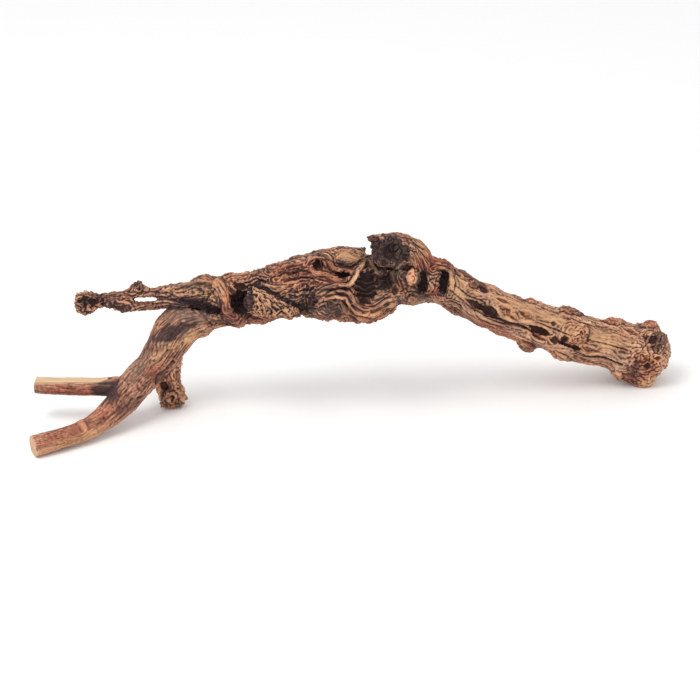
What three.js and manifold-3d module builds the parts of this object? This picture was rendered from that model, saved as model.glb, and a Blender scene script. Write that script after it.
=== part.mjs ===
// A dry, gnarled vine branch, about half a metre long, resting on three points: the belly of its
// sawn lower prong, the tip of a short stub and the underside of its thick right end.
// Millimetres, +Z up, X along the branch, +Y towards the back.
import * as THREE from "three";
import { mergeVertices } from "three/addons/utils/BufferGeometryUtils.js";
import Module from "manifold-3d";

const wasm = await Module();
wasm.setup();

// Driving dimensions
const VIEW_TILT = THREE.MathUtils.degToRad(25); // how far the drawing is seen from above
const VIEW_DISTANCE = 1556; // from the eye to the drawing
const EYE_LEVEL = 84; // height on the drawing that the eye looks straight at
const DRAWING_BACK = 80; // where the drawing's base line lies, behind the front foot
const DRAWING_LOW = -41.5; // height of the drawing's base line over the table
const ORIGIN = new THREE.Vector3(7.8, 76.3, 0); // middle of the branch's footprint
const GAP = 0.35; // clearance between neighbouring limbs at a fork
const TABLE = 0; // height of the surface that the branch rests on

// The drawing: every place is given as it is seen, in millimetres across and up on a tilted sheet,
// and how far back from the front foot it lies.
const sheetUp = new THREE.Vector3(0, Math.sin(VIEW_TILT), Math.cos(VIEW_TILT));
const sheetOut = new THREE.Vector3(0, -Math.cos(VIEW_TILT), Math.sin(VIEW_TILT));
const sheetBase = new THREE.Vector3(0, DRAWING_BACK, DRAWING_LOW);
const eye = sheetBase
  .clone()
  .addScaledVector(sheetUp, EYE_LEVEL)
  .addScaledVector(sheetOut, VIEW_DISTANCE);

function onSheet(across, up) {
  return new THREE.Vector3(across, 0, 0).add(sheetBase).addScaledVector(sheetUp, up);
}

function place(across, up, back) {
  const sight = onSheet(across, up).sub(eye);
  return eye.clone().addScaledVector(sight, (back - eye.y) / sight.y);
}

// Limbs. Each station is [across, up, back, half height, half depth].
const TRUNK = [
  [-116, 122, 84, 13, 12],
  [-109, 122, 84, 18.5, 17],
  [-98, 124, 84, 20, 19],
  [-85, 125.5, 84, 21, 20],
  [-68, 128, 85, 21, 21],
  [-50, 132, 86, 22, 21],
  [-37, 135, 87, 24.5, 22],
  [-22, 136.5, 87, 27, 24],
  [-8, 137.5, 87, 28.5, 25],
  [3, 135, 87, 29.5, 26],
  [13, 133.5, 87, 29, 26],
  [23, 137, 88, 24.5, 25],
  [33, 140.5, 90, 20.5, 22.5],
  [44, 141, 92, 20.5, 21],
  [56, 141, 95, 20, 20],
  [68, 139, 98, 18, 18.5],
  [79, 134.5, 101, 16.3, 17.5],
  [92, 127.5, 104, 16.5, 17],
  [106, 120, 107, 16.8, 17],
  [122, 113.5, 111, 17, 16.5],
  [140, 107, 115, 17, 16.5],
  [156, 102, 119, 18, 17],
  [172, 97.5, 123, 19.3, 17.5],
  [190, 92, 126, 19, 18],
  [206, 89, 129, 19.5, 19],
  [219, 85, 132, 21.5, 21],
  [232, 82, 134.5, 25.5, 22.5],
  [243, 83.5, 135.5, 22.5, 21.5],
  [251, 84, 136, 14.5, 16],
  [256.5, 84, 136, 6, 7],
];
const UPPER_TWIG = [
  [-92, 130, 84, 9, 9],
  [-108, 131, 84, 11, 11],
  [-121, 130.5, 84, 10.5, 10.5],
  [-132, 128.5, 85, 9.7, 9.5],
  [-144, 127, 86, 8.8, 8.5],
  [-155, 125.5, 86, 9.2, 7.5],
  [-165, 124.5, 87, 9, 7],
  [-177, 124, 87, 8.4, 7.5],
  [-188, 124, 88, 7, 6.5],
  [-199, 123, 88, 6, 6],
  [-206, 122.5, 88, 7.5, 7.5],
  [-213, 122.5, 88, 8.5, 8.2],
  [-218.5, 122.5, 88, 7.3, 7],
  [-221, 122.5, 88, 4, 4],
];
const LOWER_LIMB = [
  [-94, 111, 84, 7, 9],
  [-108, 111, 84, 9.5, 12],
  [-121, 108.5, 84, 14.5, 13.5],
  [-135, 103.5, 83, 17, 15],
  [-144, 93.5, 81, 17, 15.5],
  [-151, 81, 77, 14.7, 15],
  [-159.5, 69.3, 71, 13, 13.5],
  [-168.5, 60, 64, 13, 12.5],
  [-176, 51.5, 57, 13.2, 12],
  [-182.5, 43, 50, 12.2, 11],
];
const LOWER_PRONG = [
  [-170, 58, 62, 8, 8],
  [-176, 51.5, 57, 11.5, 10.5],
  [-182.5, 43, 50, 11.9, 10.8],
  [-191, 34.3, 42, 10.6, 10],
  [-200.5, 26.5, 34, 9, 9],
  [-212, 20.2, 25, 8, 8.4],
  [-224, 15.5, 17, 7.8, 8.2],
  [-235, 12, 11, 8, 8.2],
  [-248, 8.3, 4.5, 8.3, 8.4],
  [-253.8, 6.8, 2, 8.4, 8.4],
];
const UPPER_PRONG = [
  [-176, 57, 62, 5, 5],
  [-186, 55, 60, 8.2, 8],
  [-200, 54.6, 60, 7.2, 7.4],
  [-220, 54.8, 61, 7.1, 7.3],
  [-238, 55.4, 62, 6.9, 7.1],
  [-251.5, 56.2, 63, 6.7, 6.9],
];
const SHORT_STUB = [
  [-140, 92, 80, 7, 8],
  [-143, 80, 82, 9.5, 10],
  [-145, 70, 84, 10.2, 10],
  [-145, 59, 84.5, 10.3, 10],
  [-143, 51, 85.5, 11, 10.5],
  [-141.5, 43.5, 86, 10.3, 10],
  [-140.5, 37.5, 86, 6, 6],
];
const CROWN_STUB = [
  [56, 143, 96, 15, 14],
  [52, 154, 92, 15, 14.5],
  [44, 162, 85, 14, 13.5],
  [36, 164, 78, 13.5, 12.5],
  [28, 163.5, 72, 13, 12],
  [21, 164, 68, 10.5, 10],
];

// How uneven each limb's wall is, as shares of its radius
const GNARLED = 0.06;
const UNEVEN = 0.045;
const SMOOTH = 0.02;

// Lumps and dents of a limb's wall, as seen from the front. Each is
// [across, up, half length, half width, height, turn in degrees], and a dent's height is negative.
const TRUNK_RELIEF = [
  [50, 142, 7, 7, 5, 0],
  [67.5, 136.5, 5, 11, 3, 0],
  [36, 146, 8, 5, 3.5, 60],
  [50, 124.5, 4, 4, 2.5, 0],
  [183, 97.5, 7.5, 7.5, 4, 0],
  [126, 114, 6, 4, 2, -40],
  [142, 111, 7, 4, 1.5, -30],
  [191, 84, 5.5, 4, 2, -20],
  [140, 84, 9, 7, 5, -10],
  [170, 78, 8, 5, 1.5, -10],
  [214, 65.5, 7, 5, 2.5, -20],
  [242, 105, 8, 6, 3, 20],
  [236, 57, 9, 6, 2.5, 0],
  [211, 104, 7, 5, 2, -10],
  [178, 116, 9, 5, 1.5, -15],
  [147, 121, 7, 5, 2, -15],
  [92, 141.5, 7, 5, 2, -30],
  [-4, 163, 14, 6, 1, -5],
  [-92, 141, 8, 5, 1.5, -10],
  [-24, 110, 9, 6, 1, 0],
  [248, 76, 6, 9, 2.5, 60],
  [-48, 128, 9, 12, 3, -30],
  [27, 139, 9, 7, -6, 10],
  [-35, 124, 4.5, 13, -4, -25],
  [-87.5, 134, 6, 4.5, -4.5, 0],
  [108, 116, 12, 4.5, -5, -28],
  [152, 99, 7, 4, -4.5, -25],
  [107, 133.5, 6, 4, -2.5, -30],
  [177, 86.5, 8, 3.5, -3, -28],
  [245, 90, 6, 6, -3, 0],
  [238, 71, 7, 5, -3, 0],
  [11, 121, 9, 5, -3, 15],
];
// Long ridges that wind over the trunk: a half width and a height, then points [across, up]
const TRUNK_RIDGES = [
  [5, 4, [-124, 145], [-112, 139], [-101, 131.5], [-98, 123], [-97, 115], [-88, 108]],
  [4, 3, [-26, 129], [-12, 135.5], [-1, 136.5], [6, 147], [15, 154], [22, 144], [31, 146]],
  [4, 2.5, [-24, 126], [-9, 129.5], [2, 128], [8, 118], [18, 115.5], [30, 123], [40, 129]],
  [4, 1.5, [4, 111], [14, 109], [24, 114], [34, 121]],
  [3.5, 2, [-72, 142], [-56, 146], [-44, 151], [-33, 157], [-22, 159], [-12, 151]],
  [3.5, 2, [94, 135], [110, 127], [130, 119], [150, 114], [170, 106]],
  [3.5, 2, [92, 117], [110, 106], [132, 97], [152, 91], [176, 82]],
];
// Relief on the side that is turned away: [share of the length, degrees round from the upper edge,
// half length, half width, height]
const TRUNK_BACK_RELIEF = [
  [0.1, -85, 10, 8, 4],
  [0.19, -105, 10, 7, -7],
  [0.27, -60, 9, 7, 4],
  [0.34, -125, 10, 8, 3.5],
  [0.38, -80, 10, 8, -8],
  [0.45, -60, 8, 7, 4],
  [0.47, -105, 10, 9, 4],
  [0.57, -95, 9, 5, -4],
  [0.63, -70, 8, 6, 3],
  [0.7, -120, 9, 6, 3],
  [0.76, -85, 11, 4.5, -4],
  [0.83, -60, 8, 6, 3],
  [0.89, -110, 9, 7, 3],
];
const TWIG_RELIEF = [
  [-171, 139, 8, 8, 8, 0],
  [-120, 143, 8, 6, 3.5, 0],
  [-179, 116, 9, 5, 2.2, 0],
  [-207, 130, 8, 5, 1, 0],
  [-212, 116, 8, 5, 2, 0],
  [-149, 134, 8, 4, 1, 5],
  [-210, 123, 7, 3.5, -3, 0],
];
const STUB_RELIEF = [
  [-135, 47, 6, 7, 1.5, 0],
  [-149, 42, 6, 5, 1, 0],
  [-151, 76, 5, 9, 2, 0],
  [-148, 54.5, 5, 4, -3, -30],
];
const LIMB_RELIEF = [
  [-152, 92, 8, 5, 2, 40],
  [-128, 96, 8, 5, 2, 30],
  [-172, 52, 7, 6, 1.5, 0],
];
const PRONG_RELIEF = [
  [-217, 27, 6, 5, 3, 20],
  [-208, 15, 7, 5, 0.5, 20],
];
const NONE = [];

// Deep hollows with sharp rims: [across, up, half length, half width, depth, turn in degrees]
const TRUNK_HOLLOWS = [
  [-86, 122.5, 7.6, 8, 13, 0],
  [13, 135, 9.5, 13.5, 14, -12],
  [-25, 152, 4.6, 4.6, 10, 0],
  [-6, 144.5, 5, 3.2, 8, 0],
  [58, 137.5, 3.8, 9.5, 10, 0],
  [75.5, 139, 3.4, 10, 9, -5],
];
const CROWN_HOLLOW = [34, 164, 8, 7, 8, 0];
const SLOT = { across: -163.5, up: 124.5, back: 87, halfLength: 9.5, halfHeight: 1.9, depth: 30 };

// A broken side stub whose fibres fan out, and the long splinter on the crown stub
const FAN_STUB = [
  [-80, 123, 70, 10, 6],
  [-74, 122, 66, 11.5, 9],
  [-66, 119.5, 64, 10.5, 9.5],
  [-57, 117.5, 64, 9, 9],
  [-48, 115, 66, 6.5, 7],
  [-40, 113, 70, 4, 5],
];
const CROWN_SPLINTER = [
  [34, 167, 76, 9, 7],
  [25, 170.5, 73, 6.5, 5],
  [18, 173, 71, 3.6, 3],
  [12.5, 174.5, 70, 1.2, 1.2],
];
// The upper prong's split face: its slant, where it starts, and how far from the axis it starts and ends
const SPLIT_FACE = { normalUp: 0.8, normalOut: 0.6, fromShare: 0.25, startOffset: 6.6, endOffset: 4.3 };

// Sides round each limb and steps along it
const FACETS = {
  trunk: [26, 88],
  upper_twig: [14, 30],
  lower_limb: [18, 20],
  lower_prong: [14, 18],
  upper_prong: [14, 10],
  short_stub: [14, 12],
  crown_stub: [16, 9],
  fan: [12, 5],
  splinter: [8, 5],
};

// Solids
function toManifold(geometry) {
  const plain = geometry.clone();
  plain.deleteAttribute("normal");
  plain.deleteAttribute("uv");
  const merged = mergeVertices(plain, 1e-3);
  return new wasm.Manifold(
    new wasm.Mesh({
      numProp: 3,
      vertProperties: new Float32Array(merged.attributes.position.array),
      triVerts: new Uint32Array(merged.index.array),
    }),
  );
}

function toGeometry(solid) {
  const mesh = solid.getMesh();
  const geometry = new THREE.BufferGeometry();
  geometry.setAttribute("position", new THREE.BufferAttribute(mesh.vertProperties, 3));
  geometry.setIndex(new THREE.BufferAttribute(mesh.triVerts, 1));
  return geometry;
}

function largestBody(solid) {
  return solid.decompose().reduce((a, b) => (a.volume() > b.volume() ? a : b));
}

function fuse(first, others) {
  return others.reduce((whole, piece) => whole.add(piece), first);
}

function carve(first, others) {
  return others.reduce((whole, piece) => whole.subtract(piece), first);
}

// Where a point is seen on the drawing, as [across, up]
function seenAt(point) {
  const sight = point.clone().sub(eye);
  const scale = -VIEW_DISTANCE / sight.dot(sheetOut);
  return [sight.x * scale, EYE_LEVEL + sight.dot(sheetUp) * scale];
}

function valueAt(stations, column, share) {
  const x = share * (stations.length - 1);
  const i = Math.min(Math.floor(x), stations.length - 2);
  const f = x - i;
  const smooth = f * f * (3 - 2 * f);
  return stations[i][column] * (1 - smooth) + stations[i + 1][column] * smooth;
}

// A limb's section at a share of its length: its middle, the directions up and out of it, and its sizes
function sectionAt(limb, share) {
  const middle = limb.curve.getPoint(share);
  const along = limb.curve.getTangent(share);
  const out = eye.clone().sub(middle).normalize();
  const upwards = new THREE.Vector3().crossVectors(out, along).normalize();
  const towards = new THREE.Vector3().crossVectors(along, upwards).normalize();
  const tall = valueAt(limb.stations, 3, share);
  const deep = valueAt(limb.stations, 4, share);
  return { middle, upwards, towards, tall, deep };
}

// Slow swells round and along a limb, which keep it from being a plain tube
function swell(angle, run, unevenness) {
  const lobes =
    Math.sin(3 * angle + run * 0.11 + 1) +
    0.7 * Math.sin(5 * angle - run * 0.19) +
    0.6 * Math.sin(2 * angle + run * 0.27 + 2);
  return 1 + 0.6 * unevenness * lobes;
}

// A flat-topped hill: 1 in the middle, falling to about a third where the distance is 1
function hill(x, y) {
  return Math.exp(-((x * x + y * y) ** 2));
}

function distanceToPath(path, across, up) {
  let nearest = Infinity;
  for (let i = 0; i + 1 < path.length; i++) {
    const [a0, u0] = path[i];
    const [a1, u1] = path[i + 1];
    const run = (across - a0) * (a1 - a0) + (up - u0) * (u1 - u0);
    const f = THREE.MathUtils.clamp(run / ((a1 - a0) ** 2 + (u1 - u0) ** 2), 0, 1);
    nearest = Math.min(nearest, Math.hypot(across - a0 - f * (a1 - a0), up - u0 - f * (u1 - u0)));
  }
  return nearest;
}

// How far the wall stands out at a place that is seen from the front
function frontRelief(shape, across, up) {
  let rise = 0;
  for (const [a, u, length, width, height, turn] of shape.relief) {
    const c = Math.cos(THREE.MathUtils.degToRad(turn));
    const s = Math.sin(THREE.MathUtils.degToRad(turn));
    const x = (across - a) * c + (up - u) * s;
    const y = (up - u) * c - (across - a) * s;
    rise += height * hill(x / length, y / width);
  }
  for (const [halfWidth, height, ...path] of shape.ridges ?? NONE)
    rise += height * hill(distanceToPath(path, across, up) / halfWidth, 0);
  return rise;
}

// How far the wall stands out at a place on the limb's far side
function backRelief(shape, limb, share, degrees, radius) {
  let rise = 0;
  for (const [s, d, length, width, height] of shape.backRelief ?? NONE) {
    const x = (share - s) * limb.length;
    const y = THREE.MathUtils.degToRad(degrees - d) * radius;
    rise += height * hill(x / length, y / width);
  }
  return rise;
}

// A closed tube through the stations: a cylinder of unit size, bent onto the limb's curve
function makeLimb(shape, grow = 0) {
  const { stations, facets, unevenness } = shape;
  const curve = new THREE.CatmullRomCurve3(stations.map((s) => place(s[0], s[1], s[2])));
  const limb = { stations, curve, length: curve.getLength() };
  const tube = new THREE.CylinderGeometry(1, 1, 1, ...facets);
  const position = tube.getAttribute("position");
  for (let i = 0; i < position.count; i++) {
    const share = THREE.MathUtils.clamp(0.5 - position.getY(i), 0, 1);
    const angle = Math.atan2(-position.getX(i), position.getZ(i));
    const reach = Math.round(Math.hypot(position.getX(i), position.getZ(i)));
    const { middle, upwards, towards, tall, deep } = sectionAt(limb, share);
    const size = reach * swell(angle, share * limb.length, unevenness);
    const point = middle
      .clone()
      .addScaledVector(upwards, Math.cos(angle) * size * tall)
      .addScaledVector(towards, Math.sin(angle) * size * deep);
    const outwards = point.clone().sub(middle).normalize();
    const sight = eye.clone().sub(point).normalize();
    const facing = THREE.MathUtils.smoothstep(outwards.dot(sight), -0.55, -0.05);
    const front = facing * frontRelief(shape, ...seenAt(point));
    const degrees = THREE.MathUtils.radToDeg(angle);
    const back = (1 - facing) * backRelief(shape, limb, share, degrees, deep);
    point.addScaledVector(outwards, reach * (front + back + grow));
    position.setXYZ(i, point.x, point.y, point.z);
  }
  limb.geometry = tube;
  limb.solid = toManifold(tube);
  return limb;
}

// The place on a limb's wall that a sight line from the eye meets
function seenOn(limb, across, up) {
  const wall = new THREE.Mesh(limb.geometry, new THREE.MeshBasicMaterial({ side: THREE.DoubleSide }));
  wall.geometry.computeBoundingSphere();
  const ray = new THREE.Raycaster(eye, onSheet(across, up).sub(eye).normalize());
  return ray.intersectObject(wall)[0].point;
}

// An egg-shaped cutter for a hollow, its long axis along the drawing's across direction
function hollow(limb, [across, up, halfLength, halfWidth, depth, turn]) {
  const point = seenOn(limb, across, up);
  const inwards = point.clone().sub(eye).normalize();
  const sideways = new THREE.Vector3(1, 0, 0).projectOnPlane(inwards).normalize();
  sideways.applyAxisAngle(inwards, THREE.MathUtils.degToRad(-turn));
  const upwards = new THREE.Vector3().crossVectors(inwards, sideways);
  const frame = new THREE.Matrix4().makeBasis(sideways, upwards, inwards).setPosition(point);
  const egg = new THREE.SphereGeometry(1, 10, 7);
  egg.rotateX(Math.PI / 2);
  egg.scale(halfLength, halfWidth, depth);
  egg.applyMatrix4(frame);
  return toManifold(egg);
}

// Everything below the table is cut away, which leaves the small flats that the branch rests on
function underTable() {
  const slab = new THREE.BoxGeometry(700, 400, 60);
  slab.translate(0, DRAWING_BACK, TABLE - 30);
  return toManifold(slab);
}

function slotCutter() {
  const bar = new THREE.CylinderGeometry(1, 1, SLOT.depth, 10);
  bar.rotateX(Math.PI / 2);
  bar.scale(SLOT.halfLength, SLOT.halfHeight, 1);
  const frame = new THREE.Matrix4().makeBasis(new THREE.Vector3(1, 0, 0), sheetUp, sheetOut);
  frame.setPosition(place(SLOT.across, SLOT.up, SLOT.back));
  bar.applyMatrix4(frame);
  return toManifold(bar);
}

// The flat where the upper prong has been split lengthwise
function splitCutter(limb) {
  const start = sectionAt(limb, SPLIT_FACE.fromShare);
  const end = sectionAt(limb, 1);
  const slant = end.upwards
    .clone()
    .multiplyScalar(-SPLIT_FACE.normalUp)
    .addScaledVector(end.towards, SPLIT_FACE.normalOut);
  const first = start.middle.clone().addScaledVector(slant, SPLIT_FACE.startOffset);
  const last = end.middle.clone().addScaledVector(slant, SPLIT_FACE.endOffset);
  const along = last.sub(first).normalize();
  const normal = slant.clone().projectOnPlane(along).normalize();
  const side = new THREE.Vector3().crossVectors(normal, along);
  const length = 100;
  const thick = 20;
  const box = new THREE.BoxGeometry(length, 2 * thick, thick);
  const middle = first.addScaledVector(along, length / 2).addScaledVector(normal, thick / 2);
  box.applyMatrix4(new THREE.Matrix4().makeBasis(along, side, normal).setPosition(middle));
  return toManifold(box);
}

const SHAPES = {
  trunk: {
    stations: TRUNK,
    unevenness: GNARLED,
    relief: TRUNK_RELIEF,
    ridges: TRUNK_RIDGES,
    backRelief: TRUNK_BACK_RELIEF,
  },
  upper_twig: { stations: UPPER_TWIG, unevenness: UNEVEN, relief: TWIG_RELIEF },
  lower_limb: { stations: LOWER_LIMB, unevenness: UNEVEN, relief: LIMB_RELIEF },
  lower_prong: { stations: LOWER_PRONG, unevenness: SMOOTH, relief: PRONG_RELIEF },
  upper_prong: { stations: UPPER_PRONG, unevenness: SMOOTH, relief: NONE },
  short_stub: { stations: SHORT_STUB, unevenness: GNARLED, relief: STUB_RELIEF },
  crown_stub: { stations: CROWN_STUB, unevenness: GNARLED, relief: NONE },
  fan: { stations: FAN_STUB, unevenness: UNEVEN, relief: NONE },
  splinter: { stations: CROWN_SPLINTER, unevenness: UNEVEN, relief: NONE },
};
for (const [name, shape] of Object.entries(SHAPES)) shape.facets = FACETS[name];

const limbs = {};
const grown = {};
for (const [name, shape] of Object.entries(SHAPES)) {
  limbs[name] = makeLimb(shape);
  grown[name] = makeLimb(shape, GAP).solid;
}
const slab = underTable();
const trunkHollows = TRUNK_HOLLOWS.map((row) => hollow(limbs.trunk, row));
const trunkRoom = grown.trunk.add(grown.fan);
const forkRoom = grown.lower_limb;

const solids = {
  trunk: carve(limbs.trunk.solid.add(limbs.fan.solid), [...trunkHollows, slab]),
  crown_stub: carve(limbs.crown_stub.solid.add(limbs.splinter.solid), [
    hollow(limbs.crown_stub, CROWN_HOLLOW),
    trunkRoom,
  ]),
  upper_twig: carve(limbs.upper_twig.solid, [slotCutter(), trunkRoom]),
  lower_limb: carve(limbs.lower_limb.solid, [trunkRoom, grown.upper_twig]),
  lower_prong: carve(limbs.lower_prong.solid, [forkRoom, slab]),
  upper_prong: carve(limbs.upper_prong.solid, [
    splitCutter(limbs.upper_prong),
    forkRoom,
    grown.lower_prong,
  ]),
  short_stub: carve(limbs.short_stub.solid, [forkRoom, grown.lower_prong, slab]),
};

const COLOURS = {
  trunk: 0x9a7350,
  crown_stub: 0x6b4a38,
  upper_twig: 0xa37a55,
  lower_limb: 0x8d6a4a,
  short_stub: 0x8b6b4f,
  lower_prong: 0xa07a55,
  upper_prong: 0xb08a60,
};

const branch = new THREE.Group();
for (const [name, solid] of Object.entries(solids)) {
  const material = new THREE.MeshStandardMaterial({
    color: COLOURS[name],
    roughness: 0.85,
    metalness: 0,
    flatShading: true,
  });
  const mesh = new THREE.Mesh(toGeometry(largestBody(solid)), material);
  mesh.name = name;
  mesh.position.copy(ORIGIN).negate();
  branch.add(mesh);
}

export default branch;
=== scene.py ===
# %% [markdown]
# A dry, gnarled vine branch on a pale table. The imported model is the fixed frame. It says how large
# the branch is and where each limb lies. This script grows the same limbs again, but as one fused
# skin with real furrows, knots, pits and cracks in its geometry, then gives that skin its wood.

# %% Load the fixed frame
import math

import bpy
import numpy as np
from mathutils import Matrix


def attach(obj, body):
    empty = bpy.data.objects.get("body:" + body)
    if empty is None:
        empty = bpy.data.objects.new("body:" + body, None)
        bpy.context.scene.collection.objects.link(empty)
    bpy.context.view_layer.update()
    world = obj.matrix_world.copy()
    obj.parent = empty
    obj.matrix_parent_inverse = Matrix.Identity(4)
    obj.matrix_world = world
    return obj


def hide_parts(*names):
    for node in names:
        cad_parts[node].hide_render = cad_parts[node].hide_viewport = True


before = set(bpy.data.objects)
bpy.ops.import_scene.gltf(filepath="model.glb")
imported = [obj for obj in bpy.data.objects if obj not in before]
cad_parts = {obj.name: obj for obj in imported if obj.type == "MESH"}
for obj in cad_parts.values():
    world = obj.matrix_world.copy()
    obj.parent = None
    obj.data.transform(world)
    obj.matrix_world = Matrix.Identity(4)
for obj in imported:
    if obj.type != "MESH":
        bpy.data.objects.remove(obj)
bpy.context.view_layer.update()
print("frame nodes:", sorted(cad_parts))

# %% [markdown]
# Every limb is laid out on a tilted drawing sheet, the way a maker would sketch it: how far across,
# how far up, and how far back. The eye looks at the sheet from a fixed place, so a place on the
# sheet plus a depth gives one point of the branch. Lengths stay in millimetres until the very end.
# Places in the room could be written straight away, but then no row could be held against a sketch.

# %% The drawing sheet
VIEW_TILT = math.radians(25)
VIEW_DISTANCE = 1556.0
EYE_LEVEL = 84.0
DRAWING_BACK = 80.0
DRAWING_LOW = -41.5
ORIGIN = np.array([7.8, 76.3, 0.0])
METRES = 0.001

sheet_up = np.array([0.0, math.sin(VIEW_TILT), math.cos(VIEW_TILT)])
sheet_out = np.array([0.0, -math.cos(VIEW_TILT), math.sin(VIEW_TILT)])
sheet_base = np.array([0.0, DRAWING_BACK, DRAWING_LOW]) - ORIGIN
eye = sheet_base + EYE_LEVEL * sheet_up + VIEW_DISTANCE * sheet_out


def place(across, up, back):
    sight = sheet_base + np.array([across, 0.0, 0.0]) + up * sheet_up - eye
    return eye + sight * ((back - ORIGIN[1] - eye[1]) / sight[1])


def seen_at(points):
    """Where points are seen on the sheet: how far across and how far up"""
    sight = points - eye
    scale = -VIEW_DISTANCE / (sight @ sheet_out)
    return sight[:, 0] * scale, EYE_LEVEL + (sight @ sheet_up) * scale


print("the eye is at", np.round(eye))

# %% [markdown]
# A limb is a row of stations. Each says where the limb's middle is and how tall and how deep it is
# there. The thick middle runs on into the right arm, so they are one row. A real branch swells at
# its knots and thins between them. A taper could be had from a formula, but a grown branch follows
# none.

# %% Stations of every limb: across, up, back, half height, half depth
STATIONS = {
    "trunk": [
        [-116, 122, 84, 13, 12], [-109, 122, 84, 18.5, 17], [-98, 124, 84, 20, 19],
        [-85, 125.5, 84, 21, 20], [-68, 128, 85, 21, 21], [-50, 132, 86, 22, 21],
        [-37, 135, 87, 24.5, 22], [-22, 136.5, 87, 27, 24], [-8, 137.5, 87, 28.5, 25],
        [3, 135, 87, 29.5, 26], [13, 133.5, 87, 29, 26], [23, 137, 88, 24.5, 25],
        [33, 140.5, 90, 20.5, 22.5], [44, 141, 92, 20.5, 21], [56, 141, 95, 20, 20],
        [68, 139, 98, 18, 18.5], [79, 134.5, 101, 16.3, 17.5], [92, 127.5, 104, 16.5, 17],
        [106, 120, 107, 16.8, 17], [122, 113.5, 111, 17, 16.5], [140, 107, 115, 17, 16.5],
        [156, 102, 119, 18, 17], [172, 97.5, 123, 19.3, 17.5], [190, 92, 126, 19, 18],
        [206, 89, 129, 19.5, 19], [219, 85, 132, 21.5, 21], [232, 82, 134.5, 25.5, 22.5],
        [243, 83.5, 135.5, 22.5, 21.5], [251, 84, 136, 14.5, 16], [256.5, 84, 136, 6, 7],
    ],
    "upper_twig": [
        [-92, 130, 84, 9, 9], [-108, 131, 84, 11, 11], [-121, 130.5, 84, 10.5, 10.5],
        [-132, 128.5, 85, 9.7, 9.5], [-144, 127, 86, 8.8, 8.5], [-155, 125.5, 86, 9.2, 7.5],
        [-165, 124.5, 87, 9, 7], [-177, 124, 87, 8.4, 7.5], [-188, 124, 88, 7, 6.5],
        [-199, 123, 88, 6, 6], [-206, 122.5, 88, 7.5, 7.5], [-213, 122.5, 88, 8.5, 8.2],
        [-218.5, 122.5, 88, 7.3, 7], [-221, 122.5, 88, 4, 4],
    ],
    "lower_limb": [
        [-94, 111, 84, 7, 9], [-108, 111, 84, 9.5, 12], [-121, 108.5, 84, 14.5, 13.5],
        [-135, 103.5, 83, 17, 15], [-144, 93.5, 81, 17, 15.5], [-151, 81, 77, 14.7, 15],
        [-159.5, 69.3, 71, 13, 13.5], [-168.5, 60, 64, 13, 12.5], [-176, 51.5, 57, 13.2, 12],
        [-182.5, 43, 50, 12.2, 11],
    ],
    "lower_prong": [
        [-170, 58, 62, 8, 8], [-176, 51.5, 57, 11.5, 10.5], [-182.5, 43, 50, 11.9, 10.8],
        [-191, 34.3, 42, 10.6, 10], [-200.5, 26.5, 34, 9, 9], [-212, 20.2, 25, 8, 8.4],
        [-224, 15.5, 17, 7.8, 8.2], [-235, 12, 11, 8, 8.2], [-248, 8.3, 4.5, 8.3, 8.4],
        [-253.8, 6.8, 2, 8.4, 8.4],
    ],
    "upper_prong": [
        [-176, 57, 62, 5, 5], [-186, 55, 60, 8.2, 8], [-200, 54.6, 60, 7.2, 7.4],
        [-220, 54.8, 61, 7.1, 7.3], [-238, 55.4, 62, 6.9, 7.1], [-251.5, 56.2, 63, 6.7, 6.9],
    ],
    "short_stub": [
        [-140, 92, 80, 7, 8], [-143, 80, 82, 9.5, 10], [-145, 70, 84, 10.2, 10],
        [-145, 59, 84.5, 10.3, 10], [-143, 51, 85.5, 11, 10.5], [-141.5, 43.5, 86, 10.3, 10],
        [-140.5, 37.5, 86, 6, 6],
    ],
    "crown_stub": [
        [56, 143, 96, 15, 14], [52, 154, 92, 15, 14.5], [44, 162, 85, 14, 13.5],
        [36, 164, 78, 13.5, 12.5], [28, 163.5, 72, 13, 12], [21, 164, 68, 10.5, 10],
    ],
    "splinter": [
        [34, 167, 76, 9, 7], [25, 170.5, 73, 6.5, 5], [18, 173, 71, 3.6, 3],
        [12.5, 174.5, 70, 1.2, 1.2],
    ],
    "fan": [
        [-80, 123, 70, 10, 6], [-74, 122, 66, 11.5, 9], [-66, 119.5, 64, 10.5, 9.5],
        [-57, 117.5, 64, 9, 9], [-48, 115, 66, 6.5, 7], [-40, 113, 70, 4, 5],
    ],
}
# How uneven a tube is, as a share of its thickness
USUAL_UNEVENNESS = 0.045
UNEVENNESS = {
    "trunk": 0.06, "short_stub": 0.06, "crown_stub": 0.06, "lower_prong": 0.02, "upper_prong": 0.02,
}
NAMES = list(STATIONS)
print(len(NAMES), "limbs,", sum(len(rows) for rows in STATIONS.values()), "stations")

# %% [markdown]
# A smooth curve through the stations gives a limb its flow. At each place along the curve two
# directions span the section: up across the sheet, and out towards the eye. Straight pieces from
# station to station would be simpler, but each station would show as a kink.

# %% From stations to sections
SAMPLES = 360
# The direction of a curve is measured over this share of it, ahead and behind
NUDGE = 1e-4


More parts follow.
